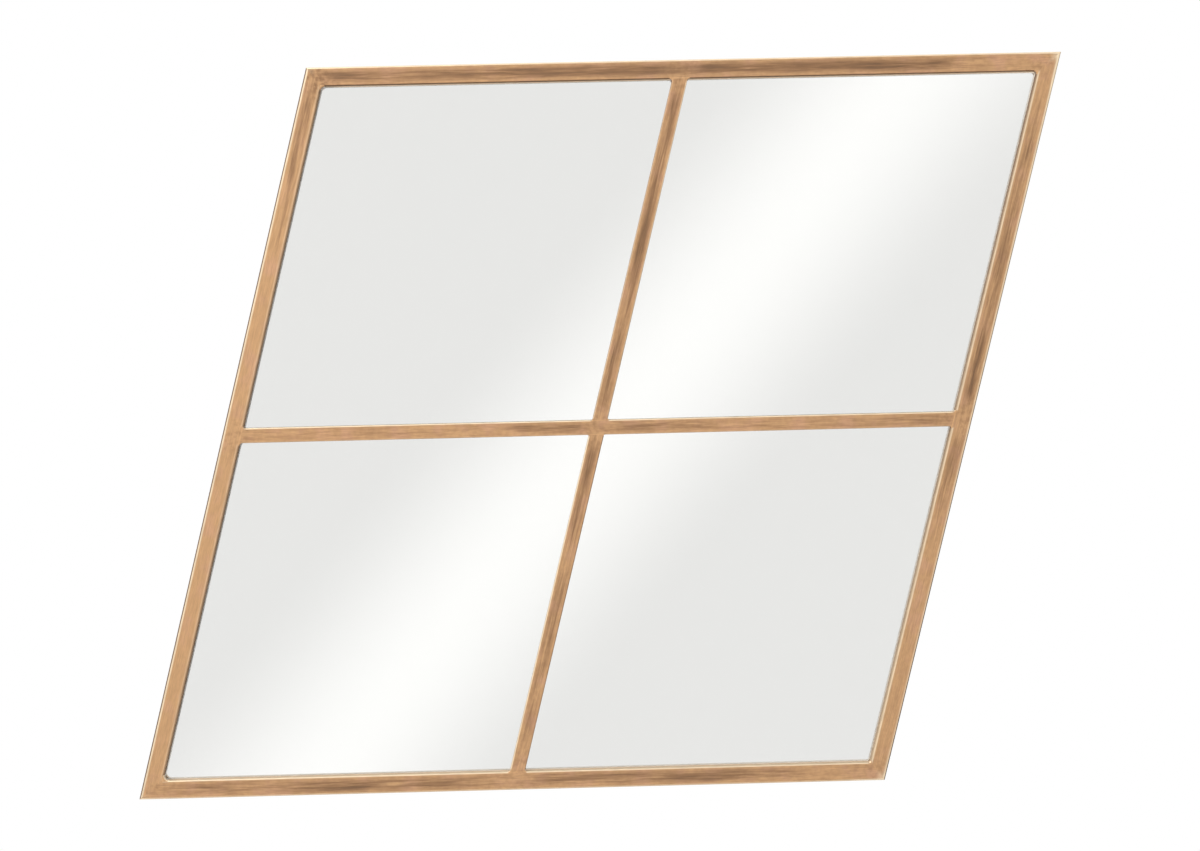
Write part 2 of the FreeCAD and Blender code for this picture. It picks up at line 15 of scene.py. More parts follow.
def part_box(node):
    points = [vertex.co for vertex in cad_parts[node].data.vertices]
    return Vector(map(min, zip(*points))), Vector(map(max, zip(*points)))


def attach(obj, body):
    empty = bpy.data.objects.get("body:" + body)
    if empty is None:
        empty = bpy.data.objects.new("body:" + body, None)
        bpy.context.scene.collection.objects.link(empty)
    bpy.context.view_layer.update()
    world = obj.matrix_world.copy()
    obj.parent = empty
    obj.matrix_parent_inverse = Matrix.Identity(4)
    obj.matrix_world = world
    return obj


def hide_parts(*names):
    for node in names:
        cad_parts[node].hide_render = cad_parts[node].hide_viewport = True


# A leaning wall mirror: a rhombus of square tube with a cross of flat bar over one sheet of mirror
# glass. Metres. X runs along the rails, Z is up, the wall is the plane Y = 0 and the front faces -Y.

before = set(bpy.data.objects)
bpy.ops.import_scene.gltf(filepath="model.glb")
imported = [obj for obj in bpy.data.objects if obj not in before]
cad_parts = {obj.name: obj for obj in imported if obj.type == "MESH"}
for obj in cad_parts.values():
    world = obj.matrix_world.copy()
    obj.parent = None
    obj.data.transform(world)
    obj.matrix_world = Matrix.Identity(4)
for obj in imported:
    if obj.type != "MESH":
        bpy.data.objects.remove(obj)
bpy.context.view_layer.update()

MILLIMETRE = 0.001
SAME_POINT = 0.001 * MILLIMETRE
BODY = "mirror"

log = logging.getLogger("leaning_mirror")

Colour = tuple[float, float, float, float]
Ends = tuple[float, float]


def paint(red: int, green: int, blue: int) -> Colour:
    """A colour as a paint chart gives it, 0 to 255, made linear for a shader.

    Args:
        red: The red share of the colour as shown on a screen.
        green: The green share.
        blue: The blue share.

    Returns:
        The linear colour with an alpha of 1.
    """
    shares = (share / 255 for share in (red, green, blue))
    linear = (s / 12.92 if s <= 0.04045 else ((s + 0.055) / 1.055) ** 2.4 for s in shares)
    return (*linear, 1.0)


def dimmed(colour: Colour, share: float) -> Colour:
    """A colour at a share of its brightness."""
    return (*(channel * share for channel in colour[:3]), 1.0)


WHITE = paint(255, 255, 255)


class Wire:
    """A number that varies over a surface; arithmetic on it adds Math nodes."""

    def __init__(self, recipe: "Recipe", socket: bpy.types.NodeSocket) -> None:
        """Wrap an output socket of a recipe's node tree.

        Args:
            recipe: The material that the socket belongs to.
            socket: The output socket that carries the number.
        """
        self.recipe = recipe
        self.socket = socket

    def _maths(self, operation: str, *terms: "Wire | float") -> "Wire":
        """Add one Math node.

        Args:
            operation: What the node works out.
            terms: The wires or numbers that it works on.

        Returns:
            The result.
        """
        inputs = dict(enumerate(terms))
        node = self.recipe.node("ShaderNodeMath", {"operation": operation}, inputs)
        return Wire(self.recipe, node.outputs[0])

    def __add__(self, other: "Wire | float") -> "Wire":
        """The sum."""
        return self._maths("ADD", self, other)

    def __radd__(self, other: float) -> "Wire":
        """The sum, with a plain number first."""
        return self._maths("ADD", other, self)

    def __sub__(self, other: "Wire | float") -> "Wire":
        """The difference."""
        return self._maths("SUBTRACT", self, other)

    def __rsub__(self, other: float) -> "Wire":
        """The difference, with a plain number first."""
        return self._maths("SUBTRACT", other, self)

    def __mul__(self, other: "Wire | float") -> "Wire":
        """The product."""
        return self._maths("MULTIPLY", self, other)

    def __rmul__(self, other: float) -> "Wire":
        """The product, with a plain number first."""
        return self._maths("MULTIPLY", other, self)

    def __abs__(self) -> "Wire":
        """The size without its sign."""
        return self._maths("ABSOLUTE", self)

    def least(self, other: "Wire | float") -> "Wire":
        """The smaller of two numbers."""
        return self._maths("MINIMUM", self, other)

    def step(self, low: "Wire | float", high: "Wire | float") -> "Wire":
        """A soft step, which may also fall.

        Args:
            low: Where the step is at 0.
            high: Where it is at 1.

        Returns:
            A number from 0 to 1.
        """
        settings = {"interpolation_type": "SMOOTHSTEP"}
        inputs = {"Value": self, "From Min": low, "From Max": high}
        return Wire(self.recipe, self.recipe.node("ShaderNodeMapRange", settings, inputs).outputs[0])


class Recipe:
    """A node material under construction, with the steps that the finishes share."""

    def __init__(self, tree: bpy.types.NodeTree) -> None:
        """Start on an empty node tree.

        Args:
            tree: The node tree of a material or a world.
        """
        self.tree = tree
        self.tree.nodes.clear()

    def node(
        self,
        kind: str,
        settings: dict[str, object] | None = None,
        inputs: dict[str | int, object] | None = None,
    ) -> bpy.types.Node:
        """Add a node.

        Args:
            kind: The node's type name.
            settings: Its own settings, which are set first.
            inputs: The value or the link of each input socket that is set, by name or number.

        Returns:
            The new node.
        """
        node = self.tree.nodes.new(kind)
        for name, setting in (settings or {}).items():
            setattr(node, name, setting)
        for key, content in (inputs or {}).items():
            if isinstance(content, Wire):
                content = content.socket
            if isinstance(content, bpy.types.NodeSocket):
                self.tree.links.new(content, node.inputs[key])
            else:
                node.inputs[key].default_value = content
        return node

    def point(self) -> bpy.types.NodeSocket:
        """The point of the surface, in the object's own metres."""
        return self.node("ShaderNodeTexCoord").outputs["Object"]

    def coordinates(self) -> tuple[Wire, Wire, Wire]:
        """The X, Y and Z of the point."""
        parts = self.node("ShaderNodeSeparateXYZ", inputs={0: self.point()})
        return tuple(Wire(self, socket) for socket in parts.outputs)

    def vector(self, x: Wire, y: Wire, z: Wire) -> bpy.types.NodeSocket:
        """Three numbers as one vector."""
        return self.node("ShaderNodeCombineXYZ", inputs={0: x, 1: y, 2: z}).outputs[0]

    def noise(self, place: bpy.types.NodeSocket, scale: float, detail: float = 2.0) -> Wire:
        """Cloudy noise.

        Args:
            place: The vector that the noise is read at.
            scale: Clouds per unit of that vector.
            detail: How many finer layers it has.

        Returns:
            The noise, mostly from 0.3 to 0.7.
        """
        inputs = {"Vector": place, "Scale": scale, "Detail": detail}
        return Wire(self, self.node("ShaderNodeTexNoise", inputs=inputs).outputs[0])

    def clouds(self, scale: float, detail: float = 2.0) -> Wire:
        """Noise that is as long as it is wide, with a number of clouds in a metre."""
        return self.noise(self.point(), scale, detail)

    def blend(self, share: Wire | float, first: object, second: object) -> bpy.types.NodeSocket:
        """Mix two colours.

        Args:
            share: How much of the second colour there is.
            first: A colour, or a socket that carries one.
            second: The other colour.

        Returns:
            The socket of the mixed colour.
        """
        inputs = {0: share, 6: first, 7: second}
        return self.node("ShaderNodeMix", {"data_type": "RGBA"}, inputs).outputs[2]

    def bump(self, height: Wire, strength: float, distance: float) -> bpy.types.NodeSocket:
        """A surface relief from a height."""
        inputs = {"Height": height, "Strength": strength, "Distance": distance}
        return self.node("ShaderNodeBump", inputs=inputs).outputs[0]

    def surface(self, inputs: dict[str | int, object]) -> None:
        """End with a principled shader.

        Args:
            inputs: The value or the link of each of the shader's sockets that is set.
        """
        shader = self.node("ShaderNodeBsdfPrincipled", inputs=inputs)
        self.node("ShaderNodeOutputMaterial", inputs={"Surface": shader.outputs[0]})


def new_recipe(name: str) -> tuple[bpy.types.Material, Recipe]:
    """Start a material.

    Args:
        name: Its name.

    Returns:
        The new material and the recipe for its nodes.
    """
    material = bpy.data.materials.new(name)
    material.use_nodes = True
    return material, Recipe(material.node_tree)


# Outline of the frame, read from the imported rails


@dataclass(frozen=True)
class Rhombus:
    """The frame's outline: rails along X, stiles that lean by an angle from them.

    Attributes:
        half_side: Half an outer side.
        angle: The angle between a rail and a stile.
        tube: The width of a tube.
        front: Where the front faces of the tubes and the bars lie on Y.
        bar_back: Where the backs of the bars lie on Y.
        bar_width: The width of a bar.
    """

    half_side: float
    angle: float
    tube: float
    front: float
    bar_back: float
    bar_width: float

    @classmethod
    def from_frame(cls) -> "Rhombus":
        """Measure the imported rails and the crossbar.

        Returns:
            The outline.
        """
        low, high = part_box("bottom_rail")
        top_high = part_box("top_rail")[1]
        bar_low, bar_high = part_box("crossbar")
        return cls(
            half_side=(high.x - low.x) / 2,
            angle=math.atan2(top_high.z - low.z, top_high.x - high.x),
            tube=high.z - low.z,
            front=low.y,
            bar_back=bar_high.y,
            bar_width=bar_high.z - bar_low.z,
        )

    @property
    def rail(self) -> Vector:
        """The direction of the rails."""
        return Vector((1, 0, 0))

    @property
    def stile(self) -> Vector:
        """The direction of the stiles, upwards."""
        return Vector((math.cos(self.angle), 0, math.sin(self.angle)))

    @property
    def inner_half(self) -> float:
        """Half a side of the opening inside the tubes."""
        return self.half_side - self.tube / math.sin(self.angle)

    @property
    def bar_half(self) -> float:
        """Half the width of a bar, measured along the side that it meets."""
        return self.bar_width / 2 / math.sin(self.angle)

    def point(self, along_rail: float, along_stile: float) -> Vector:
        """A point of the wall plane, by its distances from the middle along rail and stile."""
        return self.rail * along_rail + self.stile * along_stile


OUTLINE = Rhombus.from_frame()


# Finishes


@dataclass(frozen=True)
class Finish(ABC):
    """A surface finish, which can make its material."""

    name: str

    def material(self) -> bpy.types.Material:
        """Make the material.

        Returns:
            A new material with the finish's nodes.
        """
        material, recipe = new_recipe(self.name)
        self.lay_out(recipe)
        return material

    @abstractmethod
    def lay_out(self, recipe: Recipe) -> None:
        """Lay out the nodes of the finish."""


@dataclass(frozen=True)
class Wear:
    """How worn one tube or bar is and where highlights and shade are painted on it, mostly as shares
    at its left or lower end and at the other.

    Attributes:
        cover: The brown at evenly spaced places from one end to the other.
        upper_edge: How bright its upper or left edge is, rubbed and with a painted highlight.
        lower_edge: How bright its lower or right edge is, rubbed and with a painted highlight.
        upper_line: How dark the outline beyond the upper edge is: painted shade on the rounding, in part a
            dark line of patina.
        lower_line: How dark the outline beyond the lower edge is, in the same way.
        upper_wall: The wall under the upper edge, from painted shade at 0 to painted light in cream at 1.
        lower_wall: The wall under the lower edge, in the same way.
        worn_tips: How bright the outer edges are worn towards the corners.
        stained_ends: How clouded with brown the bare ends are.
        bare_joint: How far the middle joint is free of brown.
        tan_removed: How much of the tan grain is left off the gold, which makes it lighter.
        bright_reach: How far in from an edge it is bright, rubbed and with a painted highlight.
        line_reach: How far in from an edge its outline reaches.
        stretch: How far along one long brushed length of metal the bar is cut from it.
    """

    cover: tuple[float, ...]
    upper_edge: Ends
    lower_edge: Ends
    upper_line: Ends = (0.0, 0.0)
    lower_line: Ends = (0.0, 0.0)
    upper_wall: Ends = (0.7, 0.7)
    lower_wall: Ends = (0.0, 0.0)
    worn_tips: Ends = (0.0, 0.0)
    stained_ends: Ends = (0.0, 0.0)
    bare_joint: float = 1.0
    tan_removed: float = 0.0
    bright_reach: float = 2.0 * MILLIMETRE
    line_reach: float = 1.2 * MILLIMETRE
    stretch: float = 0.0


@dataclass(frozen=True)
class BarPlace:
    """Where the points of a bar lie, as lengths that vary over its surface.

    Attributes:
        depth: The place on Y.
        along: From the middle of the bar, to the right or upwards.
        across: From its centre line, upwards or to the left.
        from_joint: From the joint at its middle, along the bar.
        to_end: To the mitre or the cut at the nearer end, along the bar.
    """

    depth: Wire
    along: Wire
    across: Wire
    from_joint: Wire
    to_end: Wire


@dataclass(frozen=True)
class PatinaGold(Finish):
    """Brushed antique gold paint, with brown rubbed into the middle of each face and bare joints,
    and with painted highlights on its edges and painted shade on its outlines and recess walls.

    middle is the middle of the bar's centre line, and direction runs along it. A grain is the
    number of marks in a metre, along the bar and across it where it has two numbers. The metal is
    bare up to joint_bare and end_bare from the middle joint and the ends, and the brown is full from
    joint_brown and end_brown. Between turn_start and turn_end behind the front a face passes from
    the front to the sides, and the walls of the recess carry painted shade and painted light down to
    recess_depth.
    """

    direction: Vector
    middle: Vector
    half_length: float
    half_width: float
    half_depth: float
    wear: Wear
    gold: Colour = paint(207, 162, 116)
    tan: Colour = paint(184, 140, 100)
    rose: Colour = paint(212, 160, 134)
    brown: Colour = paint(144, 107, 74)
    umber: Colour = paint(108, 82, 62)
    cream: Colour = paint(252, 228, 192)
    line: Colour = paint(104, 74, 52)
    shade: Colour = paint(136, 102, 76)
    hair: Colour = paint(232, 232, 232)
    metallic: float = 0.5
    streak_grain: tuple[float, float] = (26.0, 520.0)
    cluster_grain: tuple[float, float] = (17.0, 110.0)
    brush_grain: tuple[float, float] = (90.0, 1700.0)
    mottle_grain: float = 190.0
    blush_grain: float = 42.0
    joint_bare: float = 10 * MILLIMETRE
    joint_brown: float = 30 * MILLIMETRE
    end_bare: float = 4 * MILLIMETRE
    end_brown: float = 28 * MILLIMETRE
    tip_reach: float = 12 * MILLIMETRE
    tip_full: float = 2.4 * MILLIMETRE
    tip_edge_reach: float = 60 * MILLIMETRE
    tip_rub_share: float = 1.6
    bright_full_share: float = 0.55
    line_full_share: float = 0.4
    seam: float = 1.0 * MILLIMETRE
    weld_fade: float = 2.5 * MILLIMETRE
    mitre_fade: float = 4.0 * MILLIMETRE
    turn_start: float = 1.0 * MILLIMETRE
    turn_end: float = 2.4 * MILLIMETRE
    wall_full: float = 0.3 * MILLIMETRE
    recess_depth: float = 10 * MILLIMETRE
    relief: float = 0.08 * MILLIMETRE

    @property
    def side(self) -> Vector:
        """The direction across the bar, upwards or to the left."""
        return Vector((-self.direction.z, 0, self.direction.x))

    @property
    def outer(self) -> float:
        """Which way across the bar is out of the frame: 1 or -1, and 0 for a bar of the cross."""
        outward = self.middle.dot(self.side)
        return math.copysign(1, outward) if outward else 0.0

    def measure(self, recipe: Recipe) -> BarPlace:
        """Find where a point of the surface lies on the bar.

        Args:
            recipe: The material under construction.

        Returns:
            The point's distances along the bar and across it.
        """
        x, y, z = recipe.coordinates()
        along = x * self.direction.x + z * self.direction.z - self.middle.dot(self.direction)
        across = x * self.side.x + z * self.side.z - self.middle.dot(self.side)
        lean = OUTLINE.rail.dot(OUTLINE.stile) / OUTLINE.stile.z
        slant = lean if self.direction.z == 0 else -lean
        from_joint = abs(along - across * slant)
        mean_half = (self.half_length + OUTLINE.inner_half) / 2
        widening = (self.half_length - OUTLINE.inner_half) / self.half_width / 2 * self.outer
        return BarPlace(y, along, across, from_joint, across * widening + mean_half - from_joint)

    def drawn_out(
        self, recipe: Recipe, place: BarPlace, grain: tuple[float, float], detail: float = 2.0
    ) -> Wire:
        """Noise that is drawn out along the bar.

        Args:
            recipe: The material under construction.
            place: Where the point lies.
            grain: How many marks there are in a metre, along the bar and across it.
            detail: How many finer layers the noise has.

        Returns:
            The noise, mostly from 0.3 to 0.7.
        """
        lengthways, sideways = grain
        along = (place.along + self.wear.stretch) * lengthways
        stretched = recipe.vector(along, place.across * sideways, place.depth * sideways)
        return recipe.noise(stretched, 1.0, detail)

    def ramp(self, place: BarPlace, ends: Ends) -> Wire:
        """A share that changes evenly from one end of the bar to the other."""
        start, end = ends
        return place.along * ((end - start) / 2 / self.half_length) + (start + end) / 2

    def by_half(self, place: BarPlace, ends: Ends) -> Wire:
        """A share that has one value on the first half of the bar and another on the second."""
        start, end = ends
        return place.along.step(-self.seam, self.seam) * (end - start) + start

    def cover(self, place: BarPlace) -> Wire:
        """How much brown there is, from one place of the wear's cover to the next.

        Args:
            place: Where the point lies.

        Returns:
            The share of brown.
        """
        cover = self.wear.cover[0]
        spacing = 2 * self.half_length / (len(self.wear.cover) - 1)
        for number, (before, after) in enumerate(pairwise(self.wear.cover)):
            reached = number * spacing - self.half_length
            cover = place.along.step(reached, reached + spacing) * (after - before) + cover
        return cover

    def edges(self, place: BarPlace, reach: float, full_share: float, upper: Ends, lower: Ends) -> Wire:
        """Marks along the two edges of the front face, which leave out what is welded.

        Args:
            place: Where the point lies.
            reach: How far in from an edge its mark begins.
            full_share: The share of that reach within which the mark is full.
            upper: How strong the mark is along the upper or left edge.
            lower: How strong it is along the lower or right edge.

        Returns:
            The strength of the mark.
        """
        start, full = self.half_width - reach, self.half_width - reach * full_share
        above, below = place.across.step(start, full), (0 - place.across).step(start, full)
        unwelded = place.from_joint.step(OUTLINE.bar_half, OUTLINE.bar_half + self.weld_fade)
        unwelded = unwelded * place.to_end.step(0.0, self.mitre_fade)
        if self.outer <= 0:
            above = above * unwelded
        if self.outer >= 0:
            below = below * unwelded
        return above * self.ramp(place, upper) + below * self.ramp(place, lower)

    def tips(self, place: BarPlace) -> Wire:
        """Wear on the outer edges towards the corners of the frame.

        Args:
            place: Where the point lies.

        Returns:
            How bright the point is worn.
        """
        from_edge = self.half_width - place.across * self.outer
        corner = (place.to_end + from_edge).step(self.tip_reach, self.tip_full) * 0.7
        bright_reach = self.wear.bright_reach * self.tip_rub_share
        edge = place.to_end.step(self.tip_edge_reach, 0.0) * from_edge.step(bright_reach, 0.0)
        return (corner + edge) * self.by_half(place, self.wear.worn_tips)

    def front_and_walls(self, place: BarPlace) -> tuple[Wire, Wire]:
        """Tell the front face and the walls of the recess from the back and the outside.

        Args:
            place: Where the point lies.

        Returns:
            The share of the front face and the walls together, and that of the walls alone.
        """
        turned = place.depth.step(OUTLINE.front + self.turn_start, OUTLINE.front + self.turn_end)
        inward = place.across * -self.outer if self.outer else abs(place.across)
        at_wall = inward.step(self.half_width - self.turn_start, self.half_width - self.wall_full)
        recess_end = OUTLINE.front + self.recess_depth
        walls = turned * at_wall * place.depth.step(recess_end + self.turn_end, recess_end)
        return (1 - turned + walls).step(0.0, 1.0), walls

    def wall_colour(self, recipe: Recipe, place: BarPlace) -> bpy.types.NodeSocket:
        """The colour of the walls of the recess, in shade or lit.

        Args:
            recipe: The material under construction.
            place: Where the point lies.

        Returns:
            The socket of the colour.
        """
        above = self.ramp(place, self.wear.upper_wall) * place.across.step(-self.seam, self.seam)
        below = self.ramp(place, self.wear.lower_wall) * (0 - place.across).step(-self.seam, self.seam)
        return recipe.blend(above + below, self.shade, self.cream)

    def lay_out(self, recipe: Recipe) -> None:
        """Lay out the nodes of the finish.

        Args:
            recipe: The material under construction.
        """
        wear, place = self.wear, self.measure(recipe)
        streaks = self.drawn_out(recipe, place, self.streak_grain, 4.0)
        clusters = self.drawn_out(recipe, place, self.cluster_grain)
        brushing = self.drawn_out(recipe, place, self.brush_grain)
        mottle = recipe.clouds(self.mottle_grain, 3.0)
        blush = recipe.clouds(self.blush_grain, 3.0)

        # Brown follows the streaks in the middle of each face, and only clouds the joints and the ends
        off_depth = abs(place.depth - self.middle.y) * (1 / self.half_depth)
        off_middle = (abs(place.across) * (1 / self.half_width)).least(off_depth)
        centred = 1 - off_middle.step(0.20, 0.88)
        bare_tip = place.to_end.step(self.end_brown, self.end_bare)
        bare_joint = place.from_joint.step(self.joint_brown, self.joint_bare) * wear.bare_joint
        off_joints = (1 - bare_joint) * (1 - bare_tip)
        cover = self.cover(place)
        pattern = streaks * 0.5 + clusters * 0.5
        rubbed_in = (cover + (pattern - 0.5) * 3.0).step(-0.05, 1.0) * centred
        clouded = mottle.step(0.45, 0.75) * (1 - off_joints) * 0.35
        stains = (mottle.step(0.30, 0.70) * 0.5 + 0.25) * bare_tip
        stained = stains * self.by_half(place, wear.stained_ends)
        patina = rubbed_in * (off_joints * 0.8 + 0.2) + clouded + stained
        deep = (pattern * 1.4 + cover * 0.3).step(0.94, 1.14) * centred * off_joints

        # Edges rubbed bright and given a painted highlight, their dark outlines partly painted shade,
        # and painted shade and light on the walls, where the front and the recess show them
        shown, walls = self.front_and_walls(place)
        rubbed_and_highlit = self.edges(place, wear.bright_reach, self.bright_full_share, wear.upper_edge, wear.lower_edge)
        lines = self.edges(place, wear.line_reach, self.line_full_share, wear.upper_line, wear.lower_line)
        rubbed_and_highlit, lines = rubbed_and_highlit * shown, lines * shown
        tips = self.tips(place) * shown

        grain = (mottle.step(0.35, 0.65) * 0.40 + streaks.step(0.38, 0.62) * 0.30) * (1 - wear.tan_removed)
        base = self.gold
        for share, colour in (
            (grain, self.tan),
            (blush.step(0.46, 0.68) * 0.35, self.rose),
            (patina, self.brown),
            (deep * 0.5, self.umber),
            # painted highlight and rubbed wear on the edges, mostly the upper and left ones, and worn tips
            (rubbed_and_highlit + tips, self.cream),
            # dark outlines: painted shade where the rounded edges turn from the light, partly a line of
            # patina
            (lines, self.line),
            # painted shade on the recess walls, and painted light where they face the light
            (walls * 0.8, self.wall_colour(recipe, place)),
        ):
            base = recipe.blend(share, base, colour)
        hairs = recipe.blend(brushing.step(0.30, 0.70), self.hair, WHITE)
        settings = {"data_type": "RGBA", "blend_type": "MULTIPLY"}
        brushed = recipe.node("ShaderNodeMix", settings, {0: 1.0, 6: base, 7: hairs})
        recipe.surface({
            "Base Color": brushed.outputs[2],
            "Metallic": self.metallic - lines * self.metallic,
            "Roughness": patina * 0.12 + brushing * 0.12 + lines * 0.4 + 0.32,
            "Normal": recipe.bump(brushing * 0.6 + streaks * 0.4, 0.22, self.relief),
        })


@dataclass(frozen=True)
class GroundWeld(Finish):
    """Weld metal ground flush and painted gold: no direction, and darker with painted shade where it falls
    back.

    rim_highlight is how bright the painted highlight on its front edge is, and shaded how far its flanks
    carry painted shade.
    """

    rim_highlight: float = 0.0
    shaded: float = 0.8
    gold: Colour = paint(207, 162, 116)
    brown: Colour = paint(149, 112, 79)
    shade: Colour = paint(142, 108, 82)
    cream: Colour = paint(252, 228, 192)
    metallic: float = 0.5
    rim_start: float = 0.1 * MILLIMETRE
    rim_end: float = 0.5 * MILLIMETRE
    flank_start: float = 0.8 * MILLIMETRE
    flank_end: float = 2.2 * MILLIMETRE
    relief: float = 0.12 * MILLIMETRE

    def lay_out(self, recipe: Recipe) -> None:
        """Lay out the nodes of the finish.

        Args:
            recipe: The material under construction.
        """
        _, depth, _ = recipe.coordinates()
        mottle = recipe.clouds(190.0, 3.0)
        pits = recipe.clouds(1400.0)
        # painted highlight on the rim of the front and painted shade on the flanks behind it
        rounding = depth.step(OUTLINE.front + self.rim_start, OUTLINE.front + self.rim_end)
        flank = depth.step(OUTLINE.front + self.flank_start, OUTLINE.front + self.flank_end)
        base = recipe.blend(mottle.step(0.42, 0.75) * 0.4, self.gold, self.brown)
        base = recipe.blend(rounding * self.rim_highlight, base, self.cream)
        recipe.surface({
            "Base Color": recipe.blend(flank * self.shaded, base, self.shade),
            "Metallic": self.metallic,
            "Roughness": pits * 0.16 + 0.32,
            "Normal": recipe.bump(mottle * 0.7 + pits * 0.3, 0.25, self.relief),
        })


@dataclass(frozen=True)
class ClearGlass(Finish):
    """Clear float glass, with the faintest of waves."""

    name: str = "clear_glass"
    tint: Colour = paint(252, 252, 252)

    def lay_out(self, recipe: Recipe) -> None:
        """Lay out the nodes of the finish.

        Args:
            recipe: The material under construction.
        """
        recipe.surface({
            "Base Color": self.tint,
            "Roughness": 0.0,
            "IOR": 1.5,
            "Transmission Weight": 1.0,
            "Normal": recipe.bump(recipe.clouds(6.0, 1.0), 0.02, 0.02 * MILLIMETRE),
        })


@dataclass(frozen=True)
class GroundEdge(Finish):
    """The ground edge of a glass sheet: matt, with painted light, an emission that stands for the light
    that the sheet carries to it.

    The painted light is a share of the colour's brightness, and fades from one share to the other
    within a short way of the left edge, where it is dimmed to painted shade.
    """

    name: str = "ground_glass_edge"
    light: Colour = paint(226, 214, 196)
    dark: Colour = paint(200, 188, 170)
    left_glow: float = 0.10
    other_glow: float = 0.60
    fade: float = 20 * MILLIMETRE

    def lay_out(self, recipe: Recipe) -> None:
        """Lay out the nodes of the finish.

        Args:
            recipe: The material under construction.
        """
        x, _, z = recipe.coordinates()
        grain = recipe.clouds(1800.0)
        sideways = x * OUTLINE.stile.z - z * OUTLINE.stile.x
        left = -OUTLINE.inner_half * OUTLINE.stile.z
        dim, bright = dimmed(self.light, self.left_glow), dimmed(self.light, self.other_glow)
        recipe.surface({
            "Base Color": recipe.blend(grain.step(0.3, 0.7), self.light, self.dark),
            "Roughness": grain * 0.2 + 0.45,
            # painted light: the edge glows, dimmed to painted shade near the left
            "Emission Color": recipe.blend(sideways.step(left, left + self.fade), dim, bright),
            "Emission Strength": 1.0,
            "Normal": recipe.bump(grain, 0.2, 0.05 * MILLIMETRE),
        })


@dataclass(frozen=True)
class Silvering(Finish):
    """The silver coat of a mirror, with a trace of haze."""

    name: str = "silvering"
    silver: Colour = paint(234, 234, 232)
    hazy: Colour = paint(226, 228, 226)

    def lay_out(self, recipe: Recipe) -> None:
        """Lay out the nodes of the finish.

        Args:
            recipe: The material under construction.
        """
        recipe.surface({
            "Base Color": recipe.blend(recipe.clouds(3.0).step(0.3, 0.7) * 0.06, self.silver, self.hazy),
            "Metallic": 1.0,
            "Roughness": 0.0,
        })


@dataclass(frozen=True)
class BackPaint(Finish):
    """Grey protective paint on the back of a mirror, laid on in a faint orange peel."""

    name: str = "mirror_back_paint"
    light: Colour = paint(128, 132, 128)
    dark: Colour = paint(108, 112, 110)

    def lay_out(self, recipe: Recipe) -> None:
        """Lay out the nodes of the finish.

        Args:
            recipe: The material under construction.
        """
        peel = recipe.clouds(900.0)
        recipe.surface({
            "Base Color": recipe.blend(peel.step(0.35, 0.65), self.light, self.dark),
            "Roughness": peel * 0.2 + 0.45,
            "Normal": recipe.bump(peel, 0.3, 0.1 * MILLIMETRE),
        })


@dataclass(frozen=True)
class FoamTape(Finish):
    """White closed-cell foam, its cells open where the strip was cut, with painted shade in their hollows.
    """

    name: str = "foam_tape"
    white: Colour = paint(232, 231, 226)
    hollow_shade: Colour = paint(196, 194, 188)

    def lay_out(self, recipe: Recipe) -> None:
        """Lay out the nodes of the finish.

        Args:
            recipe: The material under construction.
        """
        inputs = {"Vector": recipe.point(), "Scale": 2600.0}
        cells = recipe.node("ShaderNodeTexVoronoi", {"feature": "F1"}, inputs)
        depth = Wire(recipe, cells.outputs["Distance"])
        recipe.surface({
            # painted shade in the hollows of the cells
            "Base Color": recipe.blend(depth.step(0.1, 0.6), self.hollow_shade, self.white),
            "Roughness": 0.9,
            "Normal": recipe.bump(depth, 0.5, 0.2 * MILLIMETRE),
        })


@dataclass(frozen=True)
class Fibreboard(Finish):
    """Hard brown fibreboard: a mat of fibres with darker flecks."""

    name: str = "backing_fibreboard"
    light: Colour = paint(172, 138, 102)
    dark: Colour = paint(132, 100, 70)
    fleck: Colour = paint(96, 70, 48)
    long_grain: float = 260.0
    fine_grain: float = 1500.0
    depth_grain: float = 900.0

    def lay_out(self, recipe: Recipe) -> None:
        """Lay out the nodes of the finish.

        Args:
            recipe: The material under construction.
        """
        x, y, z = recipe.coordinates()
        deep = y * self.depth_grain
        lying = recipe.noise(recipe.vector(x * self.long_grain, deep, z * self.fine_grain), 1.0, 3.0)
        standing = recipe.noise(recipe.vector(x * self.fine_grain, deep, z * self.long_grain), 1.0, 3.0)
        fibres = lying * 0.5 + standing * 0.5
        mottle = recipe.clouds(38.0, 4.0)
        flecks = recipe.clouds(900.0, 1.0).step(0.64, 0.74)
        base = recipe.blend(mottle * 0.5 + fibres.step(0.35, 0.65) * 0.5, self.light, self.dark)
        recipe.surface({
            "Base Color": recipe.blend(flecks * 0.6, base, self.fleck),
            "Roughness": fibres * 0.25 + 0.60,
            "Normal": recipe.bump(fibres, 0.35, 0.2 * MILLIMETRE),
        })


@dataclass(frozen=True)
class ZincPlate(Finish):
    """Bright zinc plate: a cool grey metal with a cloudy sheen and fine rolling marks."""

    light: Colour = paint(206, 208, 210)
    dark: Colour = paint(166, 168, 172)
    roughness: float = 0.28
    long_grain: float = 260.0
    fine_grain: float = 5000.0

    def lay_out(self, recipe: Recipe) -> None:
        """Lay out the nodes of the finish.

        Args:
            recipe: The material under construction.
        """
        x, y, z = recipe.coordinates()
        clouds = recipe.clouds(320.0, 4.0)
        rolled = recipe.vector(x * self.fine_grain, y * self.fine_grain, z * self.long_grain)
        marks = recipe.noise(rolled, 1.0)
        recipe.surface({
            "Base Color": recipe.blend(clouds.step(0.35, 0.70), self.light, self.dark),
            "Metallic": 1.0,
            "Roughness": clouds * 0.18 + marks * 0.08 + (self.roughness - 0.12),
            "Normal": recipe.bump(marks * 0.5 + clouds * 0.5, 0.12, 0.05 * MILLIMETRE),
        })


